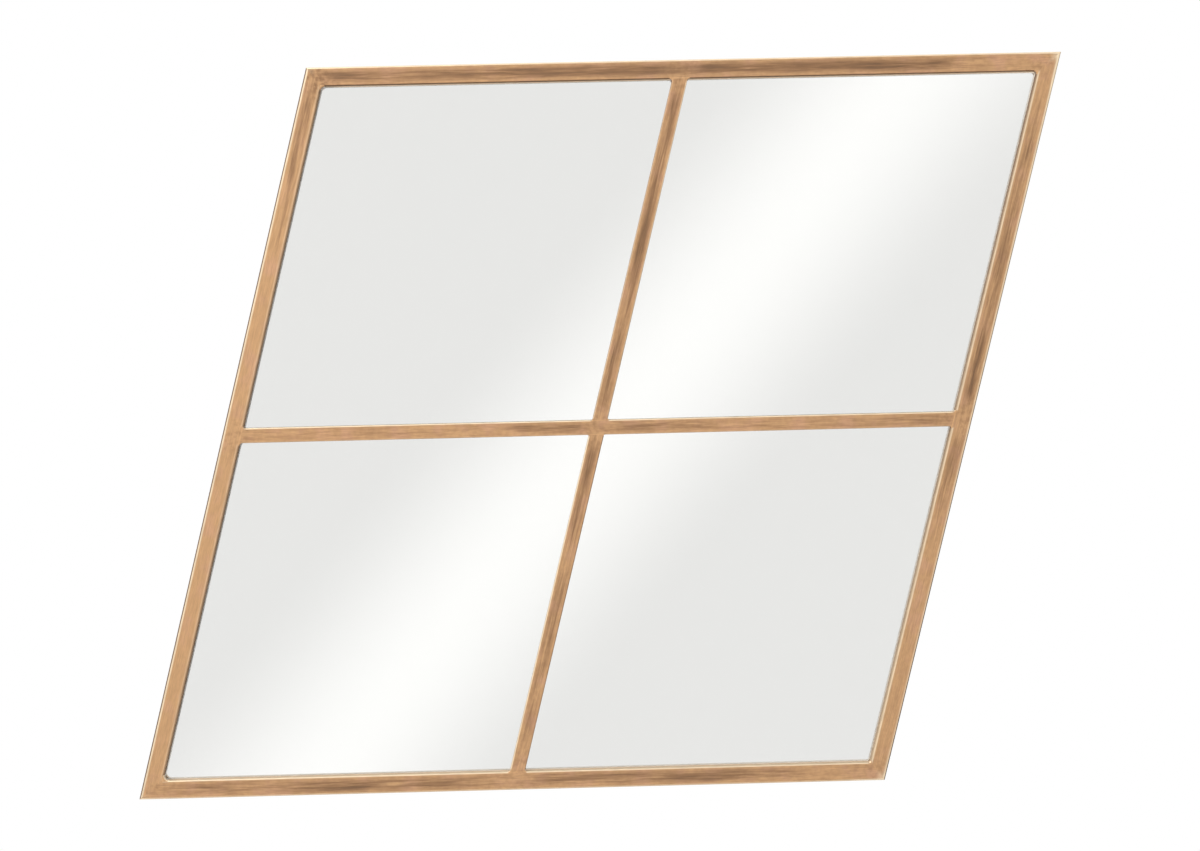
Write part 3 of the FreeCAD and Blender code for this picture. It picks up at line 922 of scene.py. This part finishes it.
@dataclass(frozen=True)
class SoftRubber(Finish):
    """Grey rubber with a fine moulded grain and a little dust."""

    grey: Colour = paint(92, 90, 88)
    dusty: Colour = paint(122, 120, 117)

    def lay_out(self, recipe: Recipe) -> None:
        """Lay out the nodes of the finish.

        Args:
            recipe: The material under construction.
        """
        grain = recipe.clouds(2400.0)
        dust = recipe.clouds(260.0, 3.0)
        recipe.surface({
            "Base Color": recipe.blend(dust.step(0.45, 0.75) * 0.6, self.grey, self.dusty),
            "Roughness": grain * 0.2 + 0.62,
            "Normal": recipe.bump(grain, 0.4, 0.1 * MILLIMETRE),
        })


# Modelling by hand: a workpiece and the steps of the work


class Pick(Enum):
    """What a step of the work takes hold of."""

    VERTEX = "VERT"
    EDGE = "EDGE"


class Workpiece:
    """A mesh being modelled; it starts as a primitive, and each method is one step on it."""

    def __init__(self, name: str) -> None:
        """Take over the primitive that was just added, with its place moved into its mesh.

        Args:
            name: The name of the piece.
        """
        self.object = bpy.context.object
        self.object.name = name
        self.object.data.name = name
        bpy.ops.object.transform_apply(location=True, rotation=True, scale=True)

    @classmethod
    def block(cls, name: str, low: Vector, high: Vector) -> "Workpiece":
        """Start on a block between two corners.

        Args:
            name: The name of the piece.
            low: Its corner with the lowest X, Y and Z.
            high: The opposite corner.

        Returns:
            The block as a workpiece.
        """
        bpy.ops.object.select_all(action="DESELECT")
        bpy.ops.mesh.primitive_cube_add(size=1, location=(low + high) / 2, scale=high - low)
        return cls(name)

    def pick(self, kind: Pick, test: Callable[[object], bool]) -> None:
        """Select what passes a test.

        Args:
            kind: Vertices or edges.
            test: Says of one of them whether it is wanted.
        """
        bpy.ops.object.mode_set(mode="EDIT")
        bpy.ops.mesh.select_mode(type=kind.value)
        bpy.ops.mesh.select_all(action="DESELECT")
        mesh = bmesh.from_edit_mesh(self.object.data)
        for element in mesh.verts if kind is Pick.VERTEX else mesh.edges:
            element.select_set(test(element))
        mesh.select_flush_mode()
        bmesh.update_edit_mesh(self.object.data)

    def move(self, offset: Vector) -> None:
        """Move what is selected."""
        bpy.ops.transform.translate(value=offset)

    def lean(self, middle_height: float, reach: Vector) -> None:
        """Lean a block over: its top goes one way and its foot the other.

        Args:
            middle_height: The height that stays where it is.
            reach: How far the top goes.
        """
        self.pick(Pick.VERTEX, lambda vertex: vertex.co.z > middle_height)
        self.move(reach)
        self.pick(Pick.VERTEX, lambda vertex: vertex.co.z < middle_height)
        self.move(-reach)

    def bevel(self, offset: float, segments: int, vertices: bool = False) -> None:
        """Round or chamfer what is selected."""
        affect = "VERTICES" if vertices else "EDGES"
        bpy.ops.mesh.bevel(offset=offset, segments=segments, affect=affect)

    def close(self) -> None:
        """Close open ends, merge doubles and turn every face outwards."""
        bpy.ops.object.mode_set(mode="EDIT")
        bpy.ops.mesh.select_all(action="SELECT")
        bpy.ops.mesh.remove_doubles(threshold=SAME_POINT)
        bpy.ops.mesh.fill_holes(sides=0)
        bpy.ops.mesh.select_all(action="SELECT")
        bpy.ops.mesh.normals_make_consistent(inside=False)
        bpy.ops.object.mode_set(mode="OBJECT")

    def shade(self, angle: float = math.radians(35)) -> None:
        """Shade the piece smoothly.

        Args:
            angle: Faces that meet at more than this angle keep a sharp edge.
        """
        bpy.ops.object.mode_set(mode="OBJECT")
        bpy.ops.object.select_all(action="DESELECT")
        self.object.select_set(True)
        bpy.context.view_layer.objects.active = self.object
        bpy.ops.object.shade_smooth_by_angle(angle=angle)


def join(name: str, pieces: list[Workpiece]) -> bpy.types.Object:
    """Join workpieces of one kind into one object.

    Args:
        name: The name of the whole.
        pieces: The workpieces.

    Returns:
        The joined object.
    """
    bpy.ops.object.select_all(action="DESELECT")
    for piece in pieces:
        piece.object.select_set(True)
    bpy.context.view_layer.objects.active = pieces[0].object
    bpy.ops.object.join()
    whole = bpy.context.object
    whole.name = name
    whole.data.name = name
    return whole


def leaning_block(
    name: str, middle: Vector, along_rail: float, along_stile: float, front: float, back: float
) -> Workpiece:
    """A block whose outline is a parallelogram with the frame's corner angle.

    Args:
        name: The name of the piece.
        middle: The middle of its outline.
        along_rail: Half its size along the rails.
        along_stile: Half its size along the stiles.
        front: Where its front face lies on Y.
        back: Where its back face lies on Y.

    Returns:
        The block.
    """
    rise = OUTLINE.stile.z * along_stile
    low = Vector((middle.x - along_rail, front, middle.z - rise))
    high = Vector((middle.x + along_rail, back, middle.z + rise))
    block = Workpiece.block(name, low, high)
    block.lean(middle.z, Vector((OUTLINE.stile.x * along_stile, 0, 0)))
    return block


def fit_out(piece: bpy.types.Object, slot: str, *finishes: Finish) -> None:
    """Give a new piece its finishes, and fix it to the body that it rides on.

    Args:
        piece: The finished object.
        slot: Not used; the name of the material slot that its finish stands for.
        finishes: The finishes that it still lacks.
    """
    for finish in finishes:
        piece.data.materials.append(finish.material())
    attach(piece, BODY)
    log.info("%s: %d faces, rides on %s", piece.name, len(piece.data.polygons), BODY)


def repaint(node: str, finish: Finish) -> None:
    """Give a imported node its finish.

    Args:
        node: The name of the node.
        finish: The finish of the whole node.
    """
    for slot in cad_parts[node].material_slots:
        slot.material = finish.material()
    log.info("%s: packed piece, finished as %s", node, finish.name)


# The metalwork of the front


class Side(Enum):
    """A side of the frame, as the names of the pieces give it."""

    LEFT = "left"
    RIGHT = "right"
    TOP = "top"
    BOTTOM = "bottom"


@dataclass
class Tubework:
    """The four tubes and the three bars, each with its own wear, painted highlights and painted shade."""

    bar_bright_reach: ClassVar[float] = 1.5 * MILLIMETRE
    wear: dict[str, Wear] = field(default_factory=lambda: {
        "bottom_rail": Wear(
            cover=(0.22, 0.68, 0.42, 0.66, -0.50), upper_edge=(1.0, 1.0), lower_edge=(0.6, 0.6),
            upper_line=(0.3, 0.3), worn_tips=(0.2, 0.6), bare_joint=0.5, stretch=1.0),
        "top_rail": Wear(
            cover=(0.65, 0.80, 1.00, 0.90, -0.20), upper_edge=(1.0, 1.0), lower_edge=(0.0, 0.0),
            lower_line=(0.9, 0.8), lower_wall=(0.9, 0.9), worn_tips=(0.2, 0.8),
            stained_ends=(0.8, 0.0), bare_joint=0.5, stretch=3.0),
        "left_stile": Wear(
            cover=(-0.30, -0.25, -0.35, 0.10, 0.48), upper_edge=(1.0, 1.0), lower_edge=(0.2, 0.2),
            upper_line=(1.0, 1.0), lower_line=(0.5, 0.4), lower_wall=(0.1, 0.35),
            stained_ends=(0.0, 0.8), tan_removed=0.7, bright_reach=3.6 * MILLIMETRE,
            line_reach=1.9 * MILLIMETRE, stretch=2.0),
        "right_stile": Wear(
            cover=(-0.70, -0.10, 0.60, 0.45, -0.05), upper_edge=(0.85, 0.75), lower_edge=(0.4, 0.85),
            upper_line=(0.45, 0.7), lower_line=(1.2, 0.35), upper_wall=(0.45, 0.0),
            worn_tips=(0.5, 0.9), tan_removed=0.3, bright_reach=3.2 * MILLIMETRE,
            line_reach=1.5 * MILLIMETRE, stretch=5.0),
        "crossbar": Wear(
            cover=(-0.10, 0.05, 0.65, 0.05, 0.45), upper_edge=(1.0, 1.0), lower_edge=(0.15, 0.15),
            bright_reach=Tubework.bar_bright_reach, stretch=4.0),
        "lower_upright_bar": Wear(
            cover=(0.10, 0.40, 0.85, 0.50, 0.50), upper_edge=(0.95, 1.0), lower_edge=(0.0, 0.0),
            lower_line=(0.3, 1.0), bright_reach=Tubework.bar_bright_reach),
        "upper_upright_bar": Wear(
            cover=(0.55, 0.62, 0.85), upper_edge=(0.9, 0.25), lower_edge=(0.0, 0.55),
            upper_line=(0.1, 0.3), lower_line=(0.8, 0.0), bright_reach=Tubework.bar_bright_reach),
    })

    def middle_of(self, node: str) -> Vector:
        """Find the middle of a tube's or a bar's centre line.

        Args:
            node: The name of the tube or the bar.

        Returns:
            The point, on the wall plane.
        """
        offset = OUTLINE.half_side - OUTLINE.tube / 2 / math.sin(OUTLINE.angle)
        return {
            "bottom_rail": OUTLINE.point(0, -offset),
            "top_rail": OUTLINE.point(0, offset),
            "left_stile": OUTLINE.point(-offset, 0),
            "right_stile": OUTLINE.point(offset, 0),
        }.get(node, Vector())

    def dress(self) -> None:
        """Finish every tube and bar along its own length."""
        for node, worn in self.wear.items():
            level = node.endswith("_rail") or node == "crossbar"
            bar = node.endswith("bar")
            front, back = (corner.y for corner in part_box(node))
            repaint(node, PatinaGold(
                name=f"{node}_gold",
                direction=OUTLINE.rail if level else OUTLINE.stile,
                middle=self.middle_of(node) + Vector((0, (front + back) / 2, 0)),
                half_length=OUTLINE.inner_half if bar else OUTLINE.half_side,
                half_width=(OUTLINE.bar_width if bar else OUTLINE.tube) / 2,
                half_depth=(back - front) / 2,
                wear=worn,
            ))


@dataclass
class Welds:
    """Ground weld metal in the corners, at the bar ends and where the bars cross.

    A corner, of the frame or of the crossing, is named by its signs along the rails and the stiles.
    The two radii of a bar end are those of its upper or left fillet and of the other one.
    """

    sunk: float = 0.03 * MILLIMETRE
    rear_gap: float = 0.10 * MILLIMETRE
    tube_edge: float = 1.5 * MILLIMETRE
    bar_edge: float = 0.8 * MILLIMETRE
    wall: float = 4.0 * MILLIMETRE
    overlap: float = 2.6 * MILLIMETRE
    steps: int = 14
    edge_steps: int = 6
    smooth_angle: float = math.radians(40)
    towards_light: Vector = field(default_factory=lambda: Vector((-0.6, 0.0, 0.8)))
    corner_radii: dict[tuple[int, int], float] = field(default_factory=lambda: {
        (-1, -1): 4.6 * MILLIMETRE,
        (1, -1): 1.6 * MILLIMETRE,
        (1, 1): 2.8 * MILLIMETRE,
        (-1, 1): 5.4 * MILLIMETRE,
    })
    joint_radii: dict[Side, tuple[float, float]] = field(default_factory=lambda: {
        Side.LEFT: (1.0 * MILLIMETRE, 3.6 * MILLIMETRE),
        Side.RIGHT: (1.6 * MILLIMETRE, 1.2 * MILLIMETRE),
        Side.TOP: (2.2 * MILLIMETRE, 2.4 * MILLIMETRE),
        Side.BOTTOM: (1.4 * MILLIMETRE, 1.2 * MILLIMETRE),
    })
    crossing_radii: dict[tuple[int, int], float] = field(default_factory=lambda: {
        (-1, -1): 0.8 * MILLIMETRE,
        (1, -1): 0.9 * MILLIMETRE,
        (1, 1): 1.5 * MILLIMETRE,
        (-1, 1): 0.9 * MILLIMETRE,
    })

    def __post_init__(self) -> None:
        """Make the two finishes of the weld metal: a lit copy with a painted highlight on its rim for
        beads that face the light, and one with more painted shade on its flanks for the others.
        """
        self.lit_finish = GroundWeld("lit_weld_gold", rim_highlight=0.9, shaded=0.35).material()
        self.shaded_finish = GroundWeld("shaded_weld_gold").material()

    def fillet(
        self, name: str, corner: Vector, first: Vector, second: Vector, radius: float, edge: float
    ) -> Workpiece:
        """A hollow fillet: the section of a rounded wall, spun round the fillet's own centre.

        Args:
            name: The name of the piece.
            corner: The sharp corner that it fills.
            first: The direction of one wall away from the corner.
            second: The direction of the other wall.
            radius: The radius of the hollow.
            edge: The rounding of its front edge.

        Returns:
            The fillet.
        """
        opening = first.angle(second)
        centre = corner + (first + second).normalized() * (radius / math.sin(opening / 2))
        touch = corner + first * (radius / math.tan(opening / 2))
        outward = (touch - centre).normalized()
        near, far = centre + outward * radius, centre + outward * (radius + self.wall)
        front, back = OUTLINE.front + self.sunk, OUTLINE.bar_back - self.rear_gap
        bpy.ops.object.select_all(action="DESELECT")
        middle = (near + far) / 2 + Vector((0, (front + back) / 2, 0))
        turn = math.atan2(-outward.z, outward.x)
        bpy.ops.mesh.primitive_plane_add(size=1, location=middle, rotation=(0, turn, 0))
        bpy.context.object.scale = (self.wall, back - front, 1)
        piece = Workpiece(name)
        limit = radius + edge
        piece.pick(Pick.VERTEX, lambda v: v.co.y < middle.y and (v.co - centre).xz.length < limit)
        piece.bevel(edge, self.edge_steps, vertices=True)
        bpy.ops.mesh.select_all(action="SELECT")
        axis = Vector((0, 1, 0))
        last = corner + second * (touch - corner).length - centre
        sweep = math.copysign(math.pi - opening, last.cross(outward).dot(axis))
        bpy.ops.mesh.spin(steps=self.steps, angle=sweep, center=centre, axis=axis)
        piece.close()
        # painted light: beads that face the light get the lit copy, the others the shaded one
        lit = (first + second).dot(self.towards_light) > 0
        piece.object.data.materials.append(self.lit_finish if lit else self.shaded_finish)
        return piece

    def filler(self, name: str, middle: Vector, along_rail: float, along_stile: float) -> Workpiece:
        """A block that fills the groove where a bar meets a rounded edge.

        Args:
            name: The name of the piece.
            middle: The middle of its outline.
            along_rail: Half its size along the rails.
            along_stile: Half its size along the stiles.

        Returns:
            The filler.
        """
        front, back = OUTLINE.front + self.sunk / 2, OUTLINE.bar_back - self.rear_gap
        block = leaning_block(name, middle, along_rail, along_stile, front, back)
        block.close()
        block.object.data.materials.append(self.shaded_finish)
        return block

    def build_corners(self) -> bpy.types.Object:
        """Fill the four inner corners of the frame.

        Returns:
            The beads as one piece.
        """
        half = OUTLINE.inner_half
        pieces = []
        for (u, v), radius in self.corner_radii.items():
            corner = OUTLINE.point(u * half, v * half)
            pieces.append(self.fillet(
                "corner_bead", corner, OUTLINE.rail * -u, OUTLINE.stile * -v, radius, self.tube_edge))
        return join("corner_weld_beads", pieces)

    def build_bar_ends(self) -> bpy.types.Object:
        """Put a filler and two fillets at each of the four bar ends.

        Returns:
            The beads as one piece.
        """
        half, bar = OUTLINE.inner_half, OUTLINE.bar_half
        sides = {
            Side.LEFT: (Vector((-half, 0)), OUTLINE.rail, OUTLINE.stile),
            Side.RIGHT: (Vector((half, 0)), -OUTLINE.rail, OUTLINE.stile),
            Side.TOP: (Vector((0, half)), -OUTLINE.stile, OUTLINE.rail),
            Side.BOTTOM: (Vector((0, -half)), OUTLINE.stile, OUTLINE.rail),
        }
        pieces = []
        for side, (place, inward, sideways) in sides.items():
            level = side in (Side.LEFT, Side.RIGHT)
            end = OUTLINE.point(*place)
            middle = end - inward * (self.overlap / 2)
            reach = self.overlap / 2 + self.bar_edge / 2
            sizes = (reach, bar) if level else (bar, reach)
            pieces.append(self.filler("joint_filler", middle, *sizes))
            signs = (1, -1) if level else (-1, 1)
            for sign, radius in zip(signs, self.joint_radii[side]):
                corner = end + sideways * (sign * bar)
                pieces.append(self.fillet(
                    "joint_bead", corner, inward, sideways * sign, radius, self.bar_edge))
        return join("bar_end_weld_beads", pieces)

    def build_crossing(self) -> bpy.types.Object:
        """Put the fillers and fillets where the upright bars meet the crossbar.

        Returns:
            The beads as one piece.
        """
        bar = OUTLINE.bar_half
        pieces = []
        for v in (-1, 1):
            middle = OUTLINE.point(0, v * bar)
            pieces.append(self.filler("crossing_filler", middle, bar, self.overlap / 2))
        for (u, v), radius in self.crossing_radii.items():
            corner = OUTLINE.point(u * bar, v * bar)
            pieces.append(self.fillet(
                "crossing_bead", corner, OUTLINE.rail * u, OUTLINE.stile * v, radius, self.bar_edge))
        return join("crossing_weld_beads", pieces)

    def build(self) -> None:
        """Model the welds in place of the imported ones."""
        for build_beads, node in (
            (self.build_corners, "corner_welds"),
            (self.build_bar_ends, "bar_end_welds"),
            (self.build_crossing, "crossing_welds"),
        ):
            whole = build_beads()
            bpy.ops.object.shade_smooth_by_angle(angle=self.smooth_angle)
            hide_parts(node)
            fit_out(whole, "antique_gold")


# The mirror and what is behind it


class Coat(IntEnum):
    """The material slots of the glass sheet, in their order."""

    GLASS = 0
    SILVER = 1
    EDGE = 2


@dataclass
class MirrorSheet:
    """One sheet of float glass, with its silver and the grey paint that protects it."""

    corner_radius: float = 2.0 * MILLIMETRE
    arris: float = 0.2 * MILLIMETRE
    paint_thickness: float = 0.08 * MILLIMETRE
    silver_gap: float = 0.03 * MILLIMETRE
    corner_steps: int = 6
    level_share: float = 0.1
    upright_share: float = 0.99

    def build(self) -> None:
        """Model the glass with its silvered back, and the paint behind it."""
        low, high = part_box("mirror_glass")
        half = (high.z - low.z) / 2 / math.sin(OUTLINE.angle)
        paint_front = high.y - self.paint_thickness
        back = paint_front - self.silver_gap
        glass = leaning_block("glass_sheet", Vector(), half, half, low.y, back)
        self.soften(glass, low.y, back)
        glass.close()
        glass.shade()
        sheet = glass.object
        fit_out(sheet, "mirror", ClearGlass(), Silvering(), GroundEdge())
        for face in sheet.data.polygons:
            if abs(face.normal.y) < self.level_share:
                face.material_index = Coat.EDGE
            else:
                face.material_index = Coat.SILVER if face.normal.y > 0 else Coat.GLASS
        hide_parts("mirror_glass")
        inset = self.arris * 2
        coat = leaning_block("mirror_paint", Vector(), half - inset, half - inset, paint_front, high.y)
        coat.pick(Pick.EDGE, self.stands_at_corner)
        coat.bevel(self.corner_radius, self.corner_steps)
        coat.close()
        fit_out(coat.object, "mirror", BackPaint())

    def stands_at_corner(self, edge: bmesh.types.BMEdge) -> bool:
        """Whether an edge runs through the thickness of the sheet."""
        first, second = edge.verts
        return abs((second.co - first.co).normalized().y) > self.upright_share

    def soften(self, glass: Workpiece, front: float, back: float) -> None:
        """Round the corners of the sheet and grind its arrises.

        Args:
            glass: The sheet.
            front: Where its front face lies on Y.
            back: Where its back face lies on Y.
        """
        glass.pick(Pick.EDGE, self.stands_at_corner)
        glass.bevel(self.corner_radius, self.corner_steps)
        for face_at in (front, back):
            glass.pick(Pick.EDGE, lambda edge: all(abs(v.co.y - face_at) < SAME_POINT for v in edge.verts))
            glass.bevel(self.arris, 1)


@dataclass
class Backing:
    """The backing board and the foam tape that holds the glass to it."""

    def dress(self) -> None:
        """Finish the board and the tape."""
        repaint("backing_board", Fibreboard())
        repaint("foam_tape_strips", FoamTape())


@dataclass
class Fastenings:
    """The welded tabs with their screws, the hanger straps with theirs, and the rings."""

    dull_light: Colour = paint(182, 184, 188)
    dull_dark: Colour = paint(134, 136, 142)

    def dress(self) -> None:
        """Finish the tabs in the frame's gold and the hardware in zinc."""
        for side in Side:
            for number in (1, 2):
                tab = f"{side.value}_tab_{number}"
                repaint(tab, GroundWeld(f"{tab}_gold", shaded=0.0))
        repaint("tab_screws", ZincPlate("tab_screws_zinc", roughness=0.24))
        repaint("strap_screws", ZincPlate(
            "strap_screws_zinc", light=self.dull_light, dark=self.dull_dark, roughness=0.30))
        for side in (Side.LEFT, Side.RIGHT):
            repaint(f"{side.value}_hanger_strap", ZincPlate(f"{side.value}_strap_zinc", roughness=0.34))
            repaint(f"{side.value}_hanger_ring", ZincPlate(f"{side.value}_ring_zinc", roughness=0.22))


@dataclass
class WallPads:
    """The four soft pads between the frame and the wall."""

    nodes: tuple[str, ...] = ("lower_left_pad", "lower_right_pad", "upper_right_pad", "upper_left_pad")

    def dress(self) -> None:
        """Finish the pads."""
        for node in self.nodes:
            repaint(node, SoftRubber(f"{node}_rubber"))


# Studio


@dataclass
class Studio:
    """A pale floor, a white surround, one soft key lamp and a card that the mirror shows."""

    floor_height: float = -1.10
    floor_radius: float = 1.5
    floor_colour: Colour = paint(250, 250, 249)
    floor_sides: int = 96
    fade_shares: tuple[float, float] = (0.55, 0.98)
    fill: float = 0.60
    key_place: tuple[float, float, float] = (-2.1, -2.0, 2.3)
    key_size: float = 1.5
    key_power: float = 92.0
    card_distance: float = 3.5
    card_size: float = 5.0
    band_middle: tuple[float, float] = (0.205, 0.0)
    band_angle: float = math.radians(48.9)
    band_reach: float = 0.47
    band_gain: float = 0.243

    def seen_directly(self, recipe: Recipe) -> Wire:
        """Tell what is seen from what only lights.

        Args:
            recipe: The material or world under construction.

        Returns:
            A share that is 1 for the camera, through glass and in what metal shows.
        """
        path = recipe.node("ShaderNodeLightPath")
        names = ("Is Camera Ray", "Is Transmission Ray", "Is Glossy Ray")
        camera, through, mirrored = (Wire(recipe, path.outputs[name]) for name in names)
        return (camera + through + mirrored).step(0.0, 1.0)

    def light_world(self) -> None:
        """White to look at, in the mirror and in the metal, and softer for what it lights."""
        world = bpy.data.worlds.new("studio_surround")
        world.use_nodes = True
        bpy.context.scene.world = world
        recipe = Recipe(world.node_tree)
        seen = self.seen_directly(recipe)
        strength = self.fill + seen * (1 - self.fill)
        white = recipe.node("ShaderNodeBackground", inputs={"Color": WHITE, "Strength": strength})
        recipe.node("ShaderNodeOutputWorld", inputs={"Surface": white.outputs[0]})

    def hang_key(self) -> None:
        """One large soft lamp, up to the left in front."""
        lamp = bpy.data.lights.new("key", "AREA")
        lamp.shape = "SQUARE"
        lamp.size = self.key_size
        lamp.energy = self.key_power
        holder = bpy.data.objects.new("key", lamp)
        bpy.context.scene.collection.objects.link(holder)
        holder.location = self.key_place
        holder.rotation_mode = "QUATERNION"
        holder.rotation_quaternion = (-Vector(self.key_place)).to_track_quat("-Z", "Y")

    def lay_floor(self) -> None:
        """A pale floor that fades into the white surround."""
        bpy.ops.object.select_all(action="DESELECT")
        bpy.ops.mesh.primitive_circle_add(
            vertices=self.floor_sides, radius=self.floor_radius, fill_type="NGON",
            location=(0, 0, self.floor_height))
        floor = Workpiece("floor").object
        material, recipe = new_recipe("pale_floor")
        x, y, _ = recipe.coordinates()
        start, gone = ((self.floor_radius * share) ** 2 for share in self.fade_shares)
        faded = (x * x + y * y).step(start, gone)
        matt = recipe.node("ShaderNodeBsdfDiffuse", inputs={"Color": self.floor_colour})
        clear = recipe.node("ShaderNodeBsdfTransparent")
        shaders = {0: faded, 1: matt.outputs[0], 2: clear.outputs[0]}
        mixed = recipe.node("ShaderNodeMixShader", inputs=shaders)
        recipe.node("ShaderNodeOutputMaterial", inputs={"Surface": mixed.outputs[0]})
        floor.data.materials.append(material)

    def stand_card(self) -> None:
        """A white card behind the camera, with the soft bright band that the mirror shows."""
        bpy.ops.object.select_all(action="DESELECT")
        bpy.ops.mesh.primitive_plane_add(
            size=self.card_size, location=(0, -self.card_distance, 0), rotation=(math.pi / 2, 0, 0))
        card = Workpiece("light_card").object
        material, recipe = new_recipe("light_card")
        x, _, z = recipe.coordinates()
        middle_x, middle_z = self.band_middle
        run_x, run_z = math.cos(self.band_angle), math.sin(self.band_angle)
        off_band = abs((x - middle_x) * -run_z + (z - middle_z) * run_x)
        glow = 1 - off_band.step(0.0, self.band_reach)
        light = recipe.node("ShaderNodeEmission", inputs={"Strength": glow * self.band_gain + 1.0})
        recipe.node("ShaderNodeOutputMaterial", inputs={"Surface": light.outputs[0]})
        card.data.materials.append(material)
        card.visible_camera = False
        card.visible_diffuse = False
        card.visible_shadow = False

    def build(self) -> None:
        """Set up the whole studio."""
        bpy.context.scene.view_settings.view_transform = "Standard"
        self.light_world()
        self.hang_key()
        self.lay_floor()
        self.stand_card()
        log.info("studio: floor %.2f m down, key lamp %.0f W", -self.floor_height, self.key_power)


@dataclass
class PhotoCamera:
    """The photograph's camera, found from the corners and the cross of the frame."""

    place: tuple[float, float, float] = (-0.0203, -1.7995, 0.0694)
    pitch: float = math.radians(-2.177)
    yaw: float = math.radians(-0.715)
    roll: float = math.radians(1.334)
    focal_pixels: float = 1753.0
    image_width: int = 1200
    sensor_width: float = 36.0

    def build(self) -> None:
        """Add the camera and make it the scene's own."""
        camera = bpy.data.cameras.new("photo_camera")
        camera.sensor_fit = "HORIZONTAL"
        camera.sensor_width = self.sensor_width
        camera.lens = self.focal_pixels / self.image_width * self.sensor_width
        holder = bpy.data.objects.new("photo_camera", camera)
        bpy.context.scene.collection.objects.link(holder)
        turn = (
            Matrix.Rotation(self.yaw, 4, "Z")
            @ Matrix.Rotation(math.pi / 2 + self.pitch, 4, "X")
            @ Matrix.Rotation(-self.roll, 4, "Z")
        )
        holder.matrix_world = Matrix.Translation(self.place) @ turn
        bpy.context.scene.camera = holder
        log.info("camera: lens %.1f mm at %.2f m", camera.lens, -self.place[1])


def main() -> None:
    """Build the mirror piece by piece, then the studio round it."""
    logging.basicConfig(level=logging.INFO, format="%(message)s")
    Tubework().dress()
    Welds().build()
    MirrorSheet().build()
    Backing().dress()
    Fastenings().dress()
    WallPads().dress()
    Studio().build()
    PhotoCamera().build()


if __name__ == "__main__":
    main()
